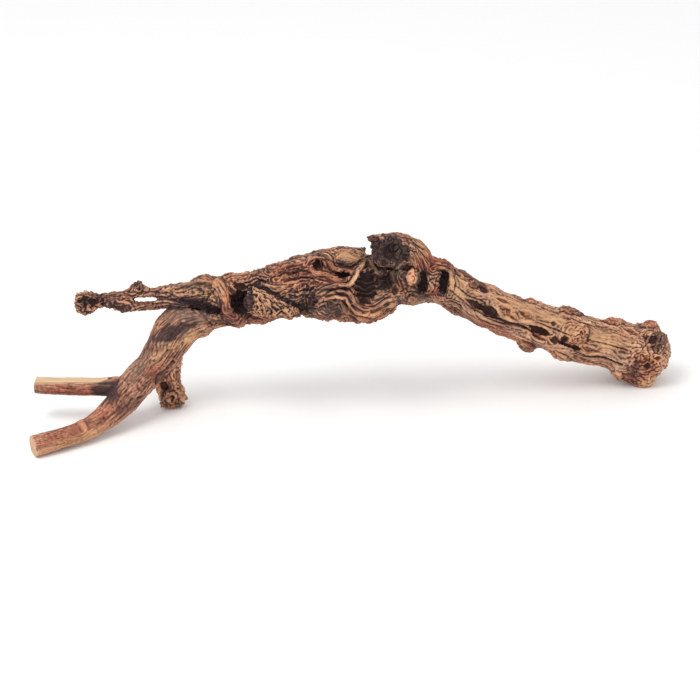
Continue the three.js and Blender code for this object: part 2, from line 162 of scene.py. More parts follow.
def smooth_path(knots, shares):
    """A centripetal Catmull-Rom curve through the knots, at shares of its length from 0 to 1"""
    spot = shares * (len(knots) - 1)
    i = np.minimum(spot.astype(int), len(knots) - 2)
    f = (spot - i)[:, None]
    row = np.vstack([2 * knots[0] - knots[1], knots, 2 * knots[-1] - knots[-2]])
    p0, p1, p2, p3 = (row[i + k] for k in range(4))
    d0, d1, d2 = (np.sqrt(np.linalg.norm(b - a, axis=1))[:, None] for a, b in ((p0, p1), (p1, p2), (p2, p3)))
    t1 = ((p1 - p0) / d0 - (p2 - p0) / (d0 + d1) + (p2 - p1) / d1) * d1
    t2 = ((p2 - p1) / d1 - (p3 - p1) / (d1 + d2) + (p3 - p2) / d2) * d1
    f2, f3 = f * f, f * f * f
    return (2 * f3 - 3 * f2 + 1) * p1 + (f3 - 2 * f2 + f) * t1 + (3 * f2 - 2 * f3) * p2 + (f3 - f2) * t2


def unit(vectors):
    return vectors / np.maximum(np.linalg.norm(vectors, axis=-1, keepdims=True), 1e-9)


def dot(a, b):
    """The product of each row of a with the same row of b"""
    return np.einsum("ij,ij->i", a, b)


def sections(stations, shares):
    """Middle, directions and half sizes of a limb's section at shares of its length"""
    rows = np.array(stations, float)
    knots = np.array([place(*row[:3]) for row in rows])
    middle = smooth_path(knots, shares)
    ahead = smooth_path(knots, np.minimum(shares + NUDGE, 1.0))
    behind = smooth_path(knots, np.maximum(shares - NUDGE, 0.0))
    along = unit(ahead - behind)
    upwards = unit(np.cross(eye - middle, along))
    towards = np.cross(along, upwards)
    spot = shares * (len(rows) - 1)
    i = np.minimum(spot.astype(int), len(rows) - 2)
    f = spot - i
    blend = f * f * (3 - 2 * f)
    tall = rows[i, 3] * (1 - blend) + rows[i + 1, 3] * blend
    deep = rows[i, 4] * (1 - blend) + rows[i + 1, 4] * blend
    return dict(middle=middle, along=along, upwards=upwards, towards=towards, tall=tall, deep=deep)


limbs = {}
for name in NAMES:
    shares = np.linspace(0, 1, SAMPLES)
    limb = sections(STATIONS[name], shares)
    steps = np.linalg.norm(np.diff(limb["middle"], axis=0), axis=1)
    limb["run"] = np.concatenate([[0.0], np.cumsum(steps)])
    limb["girth"] = 0.5 * (limb["tall"] + limb["deep"])
    limb["share"] = shares
    limbs[name] = limb
    thickness = round(2 * limb["girth"].max())
    print(name, "is", round(limb["run"][-1]), "mm long and", thickness, "mm thick at most")

# %% [markdown]
# Wood needs noise that never repeats and that can be stretched along the grain. This is gradient
# noise: every corner of a grid gets its own slope, and places in between blend the eight corners
# round them. It is seeded, so the branch grows the same way each time. Blender's own noise lives in
# materials, and here it has to move corners.

# %% Noise
GRADIENTS = unit(np.random.default_rng(7).normal(size=(256, 3)))
CORNERS = np.array([(x, y, z) for x in (0, 1) for y in (0, 1) for z in (0, 1)])
PRIMES = np.array([73856093, 19349663, 83492791])


def noise(points, seed):
    """Smooth noise, about -1 to 1, with hills about one unit wide"""
    cell = np.floor(points).astype(np.int64)
    f = points - cell
    fade = f * f * f * (f * (f * 6 - 15) + 10)
    total = np.zeros(len(points))
    for corner in CORNERS:
        key = (cell + corner) @ PRIMES + seed * 7919
        key = (key ^ (key >> 15)) * 2654435761
        slope = GRADIENTS[(key ^ (key >> 13)) & 255]
        weight = np.prod(np.where(corner, fade, 1 - fade), axis=1)
        total += weight * dot(slope, f - corner)
    return 1.6 * total


def rough(points, seed, octaves=3):
    """Noise with finer noise on top of it"""
    return sum(noise(points * 2.1**k, seed + k) * 0.5**k for k in range(octaves))


def step(value, low, high):
    """0 below low, 1 above high, and a soft slope between"""
    t = np.clip((value - low) / (high - low), 0.0, 1.0)
    return t * t * (3 - 2 * t)


def wave(value, length):
    """-1 to 1 and back over each length"""
    return np.cos(2 * math.pi * value / length)


print("noise at the eye:", np.round(noise(eye[None] / 10, 1), 3))

# %% [markdown]
# Each limb starts as a plain tube, a little uneven like its solid in the frame. Blender's voxel
# remesh then melts the tubes into one closed skin: anything inside another tube vanishes, which no
# row of booleans would do as safely. The forks are left with a crease, and smoothing turns that
# into the soft web of wood that a real fork has.

# %% Tubes and the voxel remesh
TUBE_STEP = 1.6
END_SPARE = 1.5
FINE = 0.6
COARSE = 0.9
# An edge is kept as one number: its first corner's row, shifted by so many bits, plus its second's
EDGE_BITS = 32


def swell(angle, run, unevenness):
    """Size of a tube's section in each direction, as a share of the plain oval"""
    lobes = np.sin(3 * angle + run * 0.11 + 1) + 0.7 * np.sin(5 * angle - run * 0.19)
    lobes += 0.6 * np.sin(2 * angle + run * 0.27 + 2)
    return 1 + 0.6 * unevenness * lobes


def tube(name):
    """A closed tube round one limb, as corner points and faces"""
    limb = limbs[name]
    count = int(limb["run"][-1] / TUBE_STEP) + 2
    sides = max(16, int(2 * math.pi * limb["girth"].max() / TUBE_STEP))
    shares = np.linspace(0, 1, count)
    cut = sections(STATIONS[name], shares)
    run = np.interp(shares, limb["share"], limb["run"])
    if "prong" in name:
        cut["middle"][-1] += END_SPARE * cut["along"][-1]
    angle = np.linspace(0, 2 * math.pi, sides, endpoint=False)[None, :, None]
    size = swell(angle, run[:, None, None], UNEVENNESS.get(name, USUAL_UNEVENNESS))
    up = cut["upwards"][:, None] * np.cos(angle) * cut["tall"][:, None, None]
    out = cut["towards"][:, None] * np.sin(angle) * cut["deep"][:, None, None]
    rings = (cut["middle"][:, None] + size * (up + out)).reshape(-1, 3)
    ring = np.arange(count - 1)[:, None] * sides
    around = np.arange(sides)[None]
    here, beside = ring + around, ring + (around + 1) % sides
    faces = np.stack([here, beside, beside + sides, here + sides], -1).reshape(-1, 4).tolist()
    faces.append(list(range(sides))[::-1])
    faces.append(list(range((count - 1) * sides, count * sides)))
    return rings, faces


def make_mesh(name, points, faces):
    mesh = bpy.data.meshes.new(name)
    mesh.from_pydata(points.tolist(), [], faces)
    return mesh


def add_object(name, data):
    obj = bpy.data.objects.new(name, data)
    bpy.context.scene.collection.objects.link(obj)
    return obj


def read_mesh(mesh):
    """A mesh's corner points and triangles as arrays"""
    points = np.empty(len(mesh.vertices) * 3)
    mesh.vertices.foreach_get("co", points)
    mesh.calc_loop_triangles()
    triangles = np.empty(len(mesh.loop_triangles) * 3, np.int32)
    mesh.loop_triangles.foreach_get("vertices", triangles)
    return points.reshape(-1, 3), triangles.reshape(-1, 3)


def finished(obj):
    """The object's mesh with its modifiers applied, and the object itself cleared away"""
    result = bpy.data.meshes.new_from_object(obj.evaluated_get(bpy.context.evaluated_depsgraph_get()))
    bpy.data.objects.remove(obj)
    return result


def remeshed(mesh, voxel):
    """Points and triangles of one closed skin round everything in a mesh"""
    obj = add_object("skin", mesh)
    melt = obj.modifiers.new("melt", "REMESH")
    melt.mode = "VOXEL"
    melt.voxel_size = voxel
    return read_mesh(finished(obj))


def edges_of(triangles):
    return np.vstack([triangles[:, [0, 1]], triangles[:, [1, 2]], triangles[:, [2, 0]]])


def edge_keys(edges):
    return edges[:, 0].astype(np.int64) * (1 << EDGE_BITS) + edges[:, 1]


def averager(triangles, count):
    """A function that replaces each corner's value by the mean of its neighbours' values"""
    keys = np.unique(edge_keys(np.sort(edges_of(triangles), axis=1)))
    a, b = keys >> EDGE_BITS, keys & ((1 << EDGE_BITS) - 1)
    share = np.maximum(np.bincount(a, minlength=count) + np.bincount(b, minlength=count), 1)

    def mean(values):
        if values.ndim == 2:
            return np.stack([mean(values[:, k]) for k in range(values.shape[1])], axis=1)
        total = np.bincount(a, values[b], count) + np.bincount(b, values[a], count)
        return total / share

    return mean


def spread_out(values, mean, rounds):
    for _ in range(rounds):
        values = mean(values)
    return values


def relaxed(points, mean, rounds):
    """Smoothing that evens out steps but doesn't shrink the shape"""
    for k in range(2 * rounds):
        pull = 0.5 if k % 2 == 0 else -0.52
        points = points + pull * (mean(points) - points)
    return points


def normals_of(points, triangles):
    a, b, c = (points[triangles[:, k]] for k in range(3))
    flat = np.cross(b - a, c - a)
    total = np.zeros_like(points)
    for k in range(3):
        for axis in range(3):
            total[:, axis] += np.bincount(triangles[:, k], flat[:, axis], len(points))
    return unit(total)


# %% [markdown]
# The upper twig has a slot right through it, where the wood has split in two strands. It is cut
# with a boolean while the twig is still a clean tube. Carving it later, through the rough bark,
# would leave a torn wall.

# %% Cut the slot and fuse the limbs
SLOT_MIDDLE = (-163.5, 124.5, 87)
SLOT_HALF_LENGTH = 9.8
SLOT_HALF_HEIGHT = 2.1
SLOT_SIDES = 20
SLOT_DEPTH = 40
# Rounds of smoothing after the tubes are fused
FORK_ROUNDS = 6


def slot_bar():
    angle = np.linspace(0, 2 * math.pi, SLOT_SIDES, endpoint=False)
    across = np.cos(angle)[:, None] * SLOT_HALF_LENGTH * np.array([1.0, 0.0, 0.0])
    rise = np.sin(angle)[:, None] * SLOT_HALF_HEIGHT * sheet_up
    middle = place(*SLOT_MIDDLE)
    near = middle + across + rise + sheet_out * SLOT_DEPTH / 2
    far = middle + across + rise - sheet_out * SLOT_DEPTH / 2
    faces = [list(range(SLOT_SIDES)), list(range(SLOT_SIDES, 2 * SLOT_SIDES))[::-1]]
    for i in range(SLOT_SIDES):
        j = (i + 1) % SLOT_SIDES
        faces.append([j, i, i + SLOT_SIDES, j + SLOT_SIDES])
    return np.vstack([near, far]), faces


def cut_with(mesh, cutter_mesh):
    obj = add_object("cut", mesh)
    cutter = add_object("cutter", cutter_mesh)
    boolean = obj.modifiers.new("cut", "BOOLEAN")
    boolean.operation = "DIFFERENCE"
    boolean.object = cutter
    boolean.solver = "EXACT"
    result = finished(obj)
    bpy.data.objects.remove(cutter)
    return result


all_points = []
all_faces = []
offset = 0
for name in NAMES:
    points, faces = tube(name)
    if name == "upper_twig":
        slotted = cut_with(make_mesh("twig", points, faces), make_mesh("slot", *slot_bar()))
        points, faces = read_mesh(slotted)
        faces = faces.tolist()
    all_points.append(points)
    all_faces += [[corner + offset for corner in face] for face in faces]
    offset += len(points)
skin, triangles = remeshed(make_mesh("tubes", np.vstack(all_points), all_faces), COARSE)
skin = relaxed(skin, averager(triangles, len(skin)), FORK_ROUNDS)
print("fused skin:", len(skin), "corners")

# %% [markdown]
# To know what grows where, each corner of the skin is matched with its nearest limb. That gives it
# a place along that limb and a direction round it, as a map of the bark would. Distance counts in
# shares of the limb's girth, so a thin twig isn't swallowed by the thick trunk beside it.
# Unwrapping the skin would give such a map too, but it tears at every fork.

# %% Match every corner with its limb
LIMB_REACH = 12.0
MATCH_BATCH = 20000


def nearest_station(points, limb):
    """For each point, the index of the nearest sample on the limb's middle line and the distance"""
    middle = limb["middle"]
    squares = (middle**2).sum(axis=1)
    index = np.empty(len(points), int)
    for first in range(0, len(points), MATCH_BATCH):
        batch = points[first : first + MATCH_BATCH]
        index[first : first + MATCH_BATCH] = np.argmin(squares - 2 * batch @ middle.T, axis=1)
    return index, np.linalg.norm(points - middle[index], axis=1)


def bark_map(points):
    """Each point's limb, its place along it and round it, and the limb's girth there"""
    best = np.full(len(points), np.inf)
    found = {key: np.zeros(len(points)) for key in ("share", "run", "angle", "girth", "end")}
    found["limb"] = np.zeros(len(points), int)
    found["middle"] = np.zeros((len(points), 3))
    for number, name in enumerate(NAMES):
        limb = limbs[name]
        low = limb["middle"].min(axis=0) - limb["girth"].max() - LIMB_REACH
        high = limb["middle"].max(axis=0) + limb["girth"].max() + LIMB_REACH
        near = np.flatnonzero(np.all((points > low) & (points < high), axis=1))
        index, distance = nearest_station(points[near], limb)
        ratio = distance / limb["girth"][index]
        closer = ratio < best[near]
        rows = near[closer]
        index = index[closer]
        best[rows] = ratio[closer]
        reach = points[rows] - limb["middle"][index]
        slip = dot(reach, limb["along"][index])
        up = dot(reach, limb["upwards"][index])
        out = dot(reach, limb["towards"][index])
        found["limb"][rows] = number
        found["run"][rows] = limb["run"][index] + slip
        found["angle"][rows] = np.arctan2(out, up)
        for key in ("share", "girth"):
            found[key][rows] = limb[key][index]
        found["end"][rows] = limb["run"][-1] - limb["run"][index] - slip
        found["middle"][rows] = limb["middle"][index] + slip[:, None] * limb["along"][index]
    return found


def on(found, *names):
    """Which corners of a bark map lie on the named limbs"""
    return np.isin(found["limb"], [NAMES.index(name) for name in names])


bark = bark_map(skin)
print({name: int(on(bark, name).sum()) for name in NAMES})

# %% [markdown]
# The broad forms come next: the same lumps, dents and winding ridges as in the frame's solids, seen
# from the front, and a set of its own for the back. Each is a flat-topped hill on the skin, so it
# melts into its surroundings, where a ball stuck on would look like one. First, where they are.

# %% Where the lumps, dents and ridges are
# Front relief: across, up, half length, half width, height, turn in degrees
FRONT_RELIEF = {
    "trunk": [
        [50, 142, 7, 7, 5, 0], [67.5, 136.5, 5, 11, 3, 0], [36, 146, 8, 5, 3.5, 60],
        [50, 124.5, 4, 4, 2.5, 0], [183, 97.5, 7.5, 7.5, 4, 0], [126, 114, 6, 4, 2, -40],
        [142, 111, 7, 4, 1.5, -30], [191, 84, 5.5, 4, 2, -20], [140, 84, 9, 7, 5, -10],
        [170, 78, 8, 5, 1.5, -10], [214, 65.5, 7, 5, 2.5, -20], [242, 105, 8, 6, 3, 20],
        [236, 57, 9, 6, 2.5, 0], [211, 104, 7, 5, 2, -10], [178, 116, 9, 5, 1.5, -15],
        [147, 121, 7, 5, 2, -15], [92, 141.5, 7, 5, 2, -30], [-4, 163, 14, 6, 1, -5],
        [-92, 141, 8, 5, 1.5, -10], [-24, 110, 9, 6, 1, 0], [248, 76, 6, 9, 2.5, 60],
        [-48, 128, 9, 12, 3, -30], [27, 139, 9, 7, -6, 10], [-35, 124, 4.5, 13, -4, -25],
        [-87.5, 134, 6, 4.5, -4.5, 0], [108, 116, 12, 4.5, -5, -28], [152, 99, 7, 4, -4.5, -25],
        [107, 133.5, 6, 4, -2.5, -30], [177, 86.5, 8, 3.5, -3, -28], [245, 90, 6, 6, -3, 0],
        [238, 71, 7, 5, -3, 0], [11, 121, 9, 5, -3, 15],
    ],
    "upper_twig": [
        [-171, 139, 8, 8, 8, 0], [-120, 143, 8, 6, 3.5, 0], [-179, 116, 9, 5, 2.2, 0],
        [-207, 130, 8, 5, 1, 0], [-212, 116, 8, 5, 2, 0], [-149, 134, 8, 4, 1, 5],
        [-210, 123, 7, 3.5, -3, 0],
    ],
    "short_stub": [
        [-135, 47, 6, 7, 1.5, 0], [-149, 42, 6, 5, 1, 0], [-151, 76, 5, 9, 2, 0],
        [-148, 54.5, 5, 4, -3, -30],
    ],
    "lower_limb": [
        [-152, 92, 8, 5, 2, 40], [-128, 96, 8, 5, 2, 30], [-172, 52, 7, 6, 1.5, 0],
    ],
    "lower_prong": [
        [-214, 24, 2.6, 8, 0.9, 28], [-208, 15, 7, 5, 0.5, 20],
    ],
}
# Winding ridges: half width, height, then places across and up
FRONT_RIDGES = {
    "trunk": [
        [5, 4, [-124, 145], [-112, 139], [-101, 131.5], [-98, 123], [-97, 115], [-88, 108]],
        [4, 3, [-26, 129], [-12, 135.5], [-1, 136.5], [6, 147], [15, 154], [22, 144], [31, 146]],
        [4, 2.5, [-24, 126], [-9, 129.5], [2, 128], [8, 118], [18, 115.5], [30, 123], [40, 129]],
        [4, 1.5, [4, 111], [14, 109], [24, 114], [34, 121]],
        [3.5, 2, [-72, 142], [-56, 146], [-44, 151], [-33, 157], [-22, 159], [-12, 151]],
        [3.5, 2, [94, 135], [110, 127], [130, 119], [150, 114], [170, 106]],
        [3.5, 2, [92, 117], [110, 106], [132, 97], [152, 91], [176, 82]],
    ],
}
# Relief of the far side: share of the length, degrees round, half length, half width, height
BACK_RELIEF = {
    "trunk": [
        [0.1, -85, 10, 8, 4], [0.19, -105, 10, 7, -7], [0.27, -60, 9, 7, 4],
        [0.34, -125, 10, 8, 3.5], [0.38, -80, 10, 8, -8], [0.45, -60, 8, 7, 4],
        [0.47, -105, 10, 9, 4], [0.57, -95, 9, 5, -4], [0.63, -70, 8, 6, 3], [0.7, -120, 9, 6, 3],
        [0.76, -85, 11, 4.5, -4], [0.83, -60, 8, 6, 3], [0.89, -110, 9, 7, 3],
    ],
}
front_forms = sum(len(rows) for rows in FRONT_RELIEF.values())
back_forms = sum(len(rows) for rows in BACK_RELIEF.values())
print(front_forms, "lumps and dents on the front,", back_forms, "on the back")

# %% [markdown]
# A corner of the skin knows where it is seen on the sheet, so its distance from a feature can be
# taken there, along the feature's own turned axes. On the far side distance is taken along the limb
# and round it instead. Each form then adds its height to the corners near it.

# %% Raise the broad forms
# Where the front's relief gives way to the back's: how squarely the skin faces the eye, -1 to 1
TURNS_AWAY = (-0.55, -0.05)
# Height and size in millimetres of the soft unevenness all over
UNEVEN_HEIGHT, UNEVEN_SIZE = 0.7, 16.0


def hill(x, y=0):
    """A flat-topped hill, 1 in its middle and near 0 beyond a distance of 1.3"""
    return np.exp(-((x * x + y * y) ** 2))


def sheet_offset(across, up, middle_across, middle_up, turn):
    """How far places lie from a feature's middle, along its own turned axes"""
    c, s = math.cos(math.radians(turn)), math.sin(math.radians(turn))
    x, y = across - middle_across, up - middle_up
    return x * c + y * s, y * c - x * s


def flowing(path):
    """A short path made smooth, with eight steps for each of its places"""
    return smooth_path(np.array(path, float), np.linspace(0, 1, 8 * len(path)))


def path_place(path, across, up):
    """How far places on the sheet are from a path, and how far along it they are"""
    nearest = np.full(len(across), np.inf)
    along = np.zeros(len(across))
    begun = 0.0
    for (a0, u0), (a1, u1) in zip(path[:-1], path[1:]):
        length = math.hypot(a1 - a0, u1 - u0)
        f = np.clip(((across - a0) * (a1 - a0) + (up - u0) * (u1 - u0)) / length**2, 0, 1)
        gap = np.hypot(across - a0 - f * (a1 - a0), up - u0 - f * (u1 - u0))
        along = np.where(gap < nearest, begun + f * length, along)
        nearest = np.minimum(nearest, gap)
        begun += length
    return nearest, along


def path_distance(path, across, up):
    return path_place(path, across, up)[0]


def broad_relief(name, across, up, rows, facing):
    """How far one limb's skin stands out at the given rows of the bark map"""
    front = np.zeros(len(across))
    for a, u, length, width, height, turn in FRONT_RELIEF.get(name, []):
        x, y = sheet_offset(across, up, a, u, turn)
        front += height * hill(x / length, y / width)
    for half_width, height, *path in FRONT_RIDGES.get(name, []):
        front += height * hill(path_distance(path, across, up) / half_width)
    back = np.zeros(len(across))
    for share, degrees, length, width, height in BACK_RELIEF.get(name, []):
        x = bark["run"][rows] - share_run(name, share)
        y = turned(bark["angle"][rows], math.radians(degrees)) * bark["girth"][rows]
        back += height * hill(x / length, y / width)
    return facing * front + (1 - facing) * back


def share_run(name, share):
    return np.interp(share, limbs[name]["share"], limbs[name]["run"])


def turned(angle, start):
    """How far round an angle is from a start, the short way"""
    return (angle - start + math.pi) % (2 * math.pi) - math.pi


outwards = unit(skin - bark["middle"])
facing = step(dot(outwards, unit(eye - skin)), *TURNS_AWAY)
across, up = seen_at(skin)
rise = np.zeros(len(skin))
for name in NAMES:
    rows = np.flatnonzero(on(bark, name))
    rise[rows] = broad_relief(name, across[rows], up[rows], rows, facing[rows])
uneven = UNEVEN_HEIGHT * rough(skin / UNEVEN_SIZE, 20, 2)
rise += uneven * ~on(bark, "lower_prong", "upper_prong")
skin = skin + rise[:, None] * outwards
print("broad relief from", round(rise.min(), 1), "to", round(rise.max(), 1), "mm")

# %% [markdown]
# The deep hollows are knots that rotted and fell out. They are pushed in along the line of sight,
# like a thumb into clay, and their outline is bent by noise, so that none is a clean oval. A boolean
# would leave a sharp rim, where weather has left a round one. The torn fan on the front is raised a
# little in the same way. Pushing stretches the skin, so a second, finer voxel remesh follows and
# lays even faces down the new walls.

# %% Push the deep hollows
# Across, up, half length, half width, depth, turn in degrees
HOLLOWS = {
    "trunk": [
        [-87, 122, 9.6, 9.4, 15, 0], [-122, 119.5, 19, 4, 7, -13], [13, 134.5, 10, 14.5, 16, -12],
        [26, 139, 9, 7.5, 9, 10], [-25, 152, 4.8, 4.8, 9, 0], [-6, 144.5, 5.2, 3.4, 8, 0],
        [58, 137.5, 4.2, 10, 11, 0], [75.5, 139, 3.6, 10.5, 10, -5],
    ],
    "crown_stub": [[34, 163, 8, 7, 7, 0]],
}
# The share of a hollow in which the skin's level is read, and how far below its floor skin may lie
HOLLOW_CORE = 0.35
HOLLOW_SPARE = 8
# Further left than this, a hollow of the trunk also goes into the limbs beside it
COLLAR_FROM = -100
# Skin counts as seen if it turns away from the eye by no more than this
GRAZING = -0.1
FINE_ROUNDS = 4


def push_hollow(points, across, up, near, feature, seed):
    """Push skin away from the eye until it lies on a hollow's rounded floor"""
    a, u, length, width, depth, turn = feature
    x, y = sheet_offset(across, up, a, u, turn)
    wobble = 1 + 0.14 * noise(points / 6.0, seed)
    reach = np.sqrt((x / length) ** 2 + (y / width) ** 2) * wobble
    middle = near & (reach < HOLLOW_CORE)
    if not middle.any():
        return points
    inwards = unit(place(a, u, DRAWING_BACK) - eye)
    level = (points @ inwards)[middle].min()
    floor = level + depth * np.sqrt(np.clip(1 - reach**3, 0, 1))
    deep = points @ inwards
    inside = near & (reach < 1) & (deep < level + depth + HOLLOW_SPARE)
    shift = np.clip(floor - deep, 0, None) * inside
    return points + shift[:, None] * inwards


def smooth_normals(points, triangles, mean, rounds=2):
    """Directions straight out of the skin, without its small bumps"""
    normals = normals_of(points, triangles)
    for _ in range(rounds):
        normals = unit(mean(normals))
    return normals


# The torn fan's corners on the sheet, clockwise from its upper left, and how far it stands out
FAN_CORNERS = [(-78, 135), (-68, 132), (-40, 117), (-39, 112), (-50, 109), (-77, 111)]
FAN_LIFT = 3.0


def outline_depth(corners, across, up):
    """How deep places lie inside a shape whose corners go clockwise"""
    depth = np.full(len(across), np.inf)
    for (a0, u0), (a1, u1) in zip(corners, corners[1:] + corners[:1]):
        length = math.hypot(a1 - a0, u1 - u0)
        depth = np.minimum(depth, ((a1 - a0) * (u0 - up) - (u1 - u0) * (a0 - across)) / length)
    return depth


mean = averager(triangles, len(skin))
skin_normals = smooth_normals(skin, triangles, mean)
sees_eye = dot(skin_normals, unit(eye - skin)) > GRAZING
across, up = seen_at(skin)
inset = outline_depth(FAN_CORNERS, across, up) + 1.2 * noise(skin / 4.0, 39)
lift = FAN_LIFT * step(inset, -0.8, 1.2) * (on(bark, "trunk", "fan") & sees_eye)
skin = skin + lift[:, None] * unit(eye - skin)
for name, rows in HOLLOWS.items():
    for number, feature in enumerate(rows):
        across, up = seen_at(skin)
        part = on(bark, name) | on(bark, "upper_twig", "lower_limb") & (feature[0] < COLLAR_FROM)
        skin = push_hollow(skin, across, up, part & sees_eye, feature, 40 + number)
skin = relaxed(skin, mean, 1)
skin, triangles = remeshed(make_mesh("pushed", skin, triangles.tolist()), FINE)
mean = averager(triangles, len(skin))
skin = relaxed(skin, mean, FINE_ROUNDS)
print("fine skin:", len(skin), "corners,", len(triangles), "triangles")

# %% [markdown]
# Grain runs along a limb and parts round every knot and pit, as water parts round a stone. So each
# corner gets grain coordinates: two that go round the limb and one that runs along it. Near a knot
# the ones that go round are bent by the formula for a stream that meets a round post. Any pattern
# made in these coordinates then flows as grain does. Straight grain that ran on over a knot would
# look printed on.

# %% The grain and the knots it flows round
# Knots and pits on the front: across, up, radius
FRONT_EYES = [
    [-25, 152, 6.5], [-6, 144.5, 5.5], [14, 136, 13], [50, 142, 7.5], [58, 137, 5.5],
    [75, 139, 5.5], [50, 124.5, 4], [-86, 122.5, 9], [106, 118, 5], [126, 114, 4.5], [142, 111, 4],
    [184.5, 97.5, 8], [152, 98, 4.5], [164, 92, 3.5], [190.5, 84, 4.5], [236, 71, 8],
    [-171, 138, 6], [-186, 116, 6], [-217, 22, 4],
]
BACK_EYES = 26
BACK_EYE_LIMBS = ["trunk", "trunk", "upper_twig", "lower_limb", "short_stub"]
# A knot is this much longer along the grain than across it
EYE_STRETCH = 1.6
# Over so many of its radii a knot bends the grain less and less
EYE_FADE = (2.5, 4.5)
# A knot's middle is looked for this near its place on the sheet
SPOT_RADIUS = 2.5
# Seeded marks lie between these shares of a limb's length
LIMB_SPAN = (0.06, 0.94)
dice = np.random.default_rng(11)

bark = bark_map(skin)
skin_normals = smooth_normals(skin, triangles, mean, 4)
toward_eye = dot(skin_normals, unit(eye - skin))
sees_eye = toward_eye > 0.0
across, up = seen_at(skin)


def spot_at(a, u):
    """The row of the skin's corner that is seen at a place on the sheet"""
    near = np.flatnonzero(sees_eye & (np.hypot(across - a, up - u) < SPOT_RADIUS))
    return near[np.argmin(np.linalg.norm(skin[near] - eye, axis=1))]


def scattered(count, names, low=-165, high=-15):
    """Seeded places on the far side of the limbs: limb, run and angle"""
    places = []
    sizes = np.array([limbs[name]["run"][-1] for name in names])
    for _ in range(count):
        name = names[dice.choice(len(names), p=sizes / sizes.sum())]
        run = dice.uniform(*LIMB_SPAN) * limbs[name]["run"][-1]
        places.append((NAMES.index(name), run, math.radians(dice.uniform(low, high))))
    return places


eyes = []
for a, u, radius in FRONT_EYES:
    row = spot_at(a, u)
    eyes.append((bark["limb"][row], bark["run"][row], bark["angle"][row], radius))
for limb, run, angle in scattered(BACK_EYES, BACK_EYE_LIMBS):
    eyes.append((limb, run, angle, dice.uniform(3.5, 7.5)))

swirl = bark["angle"].copy()
rings = np.full(len(skin), 9.0)
ring_size = np.ones(len(skin))
for limb, run, angle, radius in eyes:
    rows = np.flatnonzero((bark["limb"] == limb) & (np.abs(bark["run"] - run) < 6 * radius))
    x = (bark["run"][rows] - run) / EYE_STRETCH
    y = turned(bark["angle"][rows], angle) * bark["girth"][rows]
    reach = np.hypot(x, y)
    bend = y * radius**2 / np.maximum(reach, radius) ** 2 * (1 - step(reach / radius, *EYE_FADE))
    swirl[rows] -= bend / bark["girth"][rows]
    closer = reach / radius < rings[rows]
    rings[rows[closer]] = (reach / radius)[closer]
    ring_size[rows[closer]] = radius
print(len(eyes), "knots and pits bend the grain")

# %% [markdown]
# Weather has opened the wood unevenly: the old burl is deeply furrowed, the right arm has long fine
# lines, and the sawn prongs are almost smooth. A table gives each region its depth of furrow at
# three widths, how much the grain wanders, how gritty it is, and how light and streaked. A furrow
# lies wherever a stretched noise passes through zero, which gives long closed loops, as eroded wood
# has. Round each knot the furrows give way to rings, and some places are rugged all over.

# %% Furrows along the grain
# Depth of wide, middle and fine furrows, wander of the grain and grit in millimetres, then tone
# and how strongly streaks show
WEATHERING = {
    "trunk": [2.1, 1.4, 0.8, 6.0, 0.75, 0.195, 1.0],
    "arm": [0.5, 0.45, 0.5, 1.4, 0.45, 0.42, 0.75],
    "upper_twig": [1.2, 1.0, 0.55, 3.5, 0.6, 0.19, 0.9],
    "lower_limb": [0.4, 0.3, 0.35, 2.0, 0.3, 0.345, 0.55],
    "lower_prong": [0.0, 0.12, 0.1, 0.8, 0.22, 0.37, 0.75],
    "upper_prong": [0.0, 0.1, 0.1, 0.6, 0.2, 0.31, 0.75],
    "short_stub": [1.3, 1.1, 0.7, 5.0, 1.2, 0.57, 1.1],
    "crown_stub": [1.4, 1.2, 0.6, 3.0, 0.4, 0.3, 0.9],
    "splinter": [0.5, 0.6, 0.4, 1.0, 0.3, 0.2, 0.9],
    "fan": [2.0, 1.3, 0.7, 5.0, 0.3, 0.28, 0.9],
}
# Limbs that start out like their parent and change between two places of their run
TAKES_AFTER = {"lower_prong": ("lower_limb", 10, 42), "upper_prong": ("lower_limb", 6, 24)}
# Between these places across, the burl's wood changes into the arm's
ARM_START = [76, 92]
# Rounds of averaging that blend one region into the next
BLEND_ROUNDS = 12
# Added to a limb's grain coordinates for each limb before it, so that no two show the same pattern
LIMB_SHIFT = 40.0
RING_WIDTH = 2.6
# Rugged places: across, up, half length, half width, height, size of the lumps
RUGGED = [
    [-210, 123, 14, 12, 1.6, 4.0], [-171, 138, 9, 8, 1.2, 3.5], [-186, 115, 11, 6, 1.2, 4.0],
    [-140, 45, 14, 12, 1.8, 4.5], [240, 80, 16, 28, 1.3, 5.0], [-4, 108, 26, 7, 0.9, 4.5],
    [28, 150, 14, 10, 0.9, 4.0], [-60, 144, 26, 9, 1.1, 3.6], [-100, 137, 12, 9, 0.6, 4.0],
    [-30, 129, 14, 12, 1.0, 3.4], [-10, 112, 18, 8, 0.6, 3.4],
]


def furrow(grain, width, length, seed, sharpness=0.3):
    """1 along the middle of furrows in stretched noise, 0 between them"""
    return 1 - step(np.abs(noise(grain / np.array([width, width, length]), seed)), 0, sharpness)


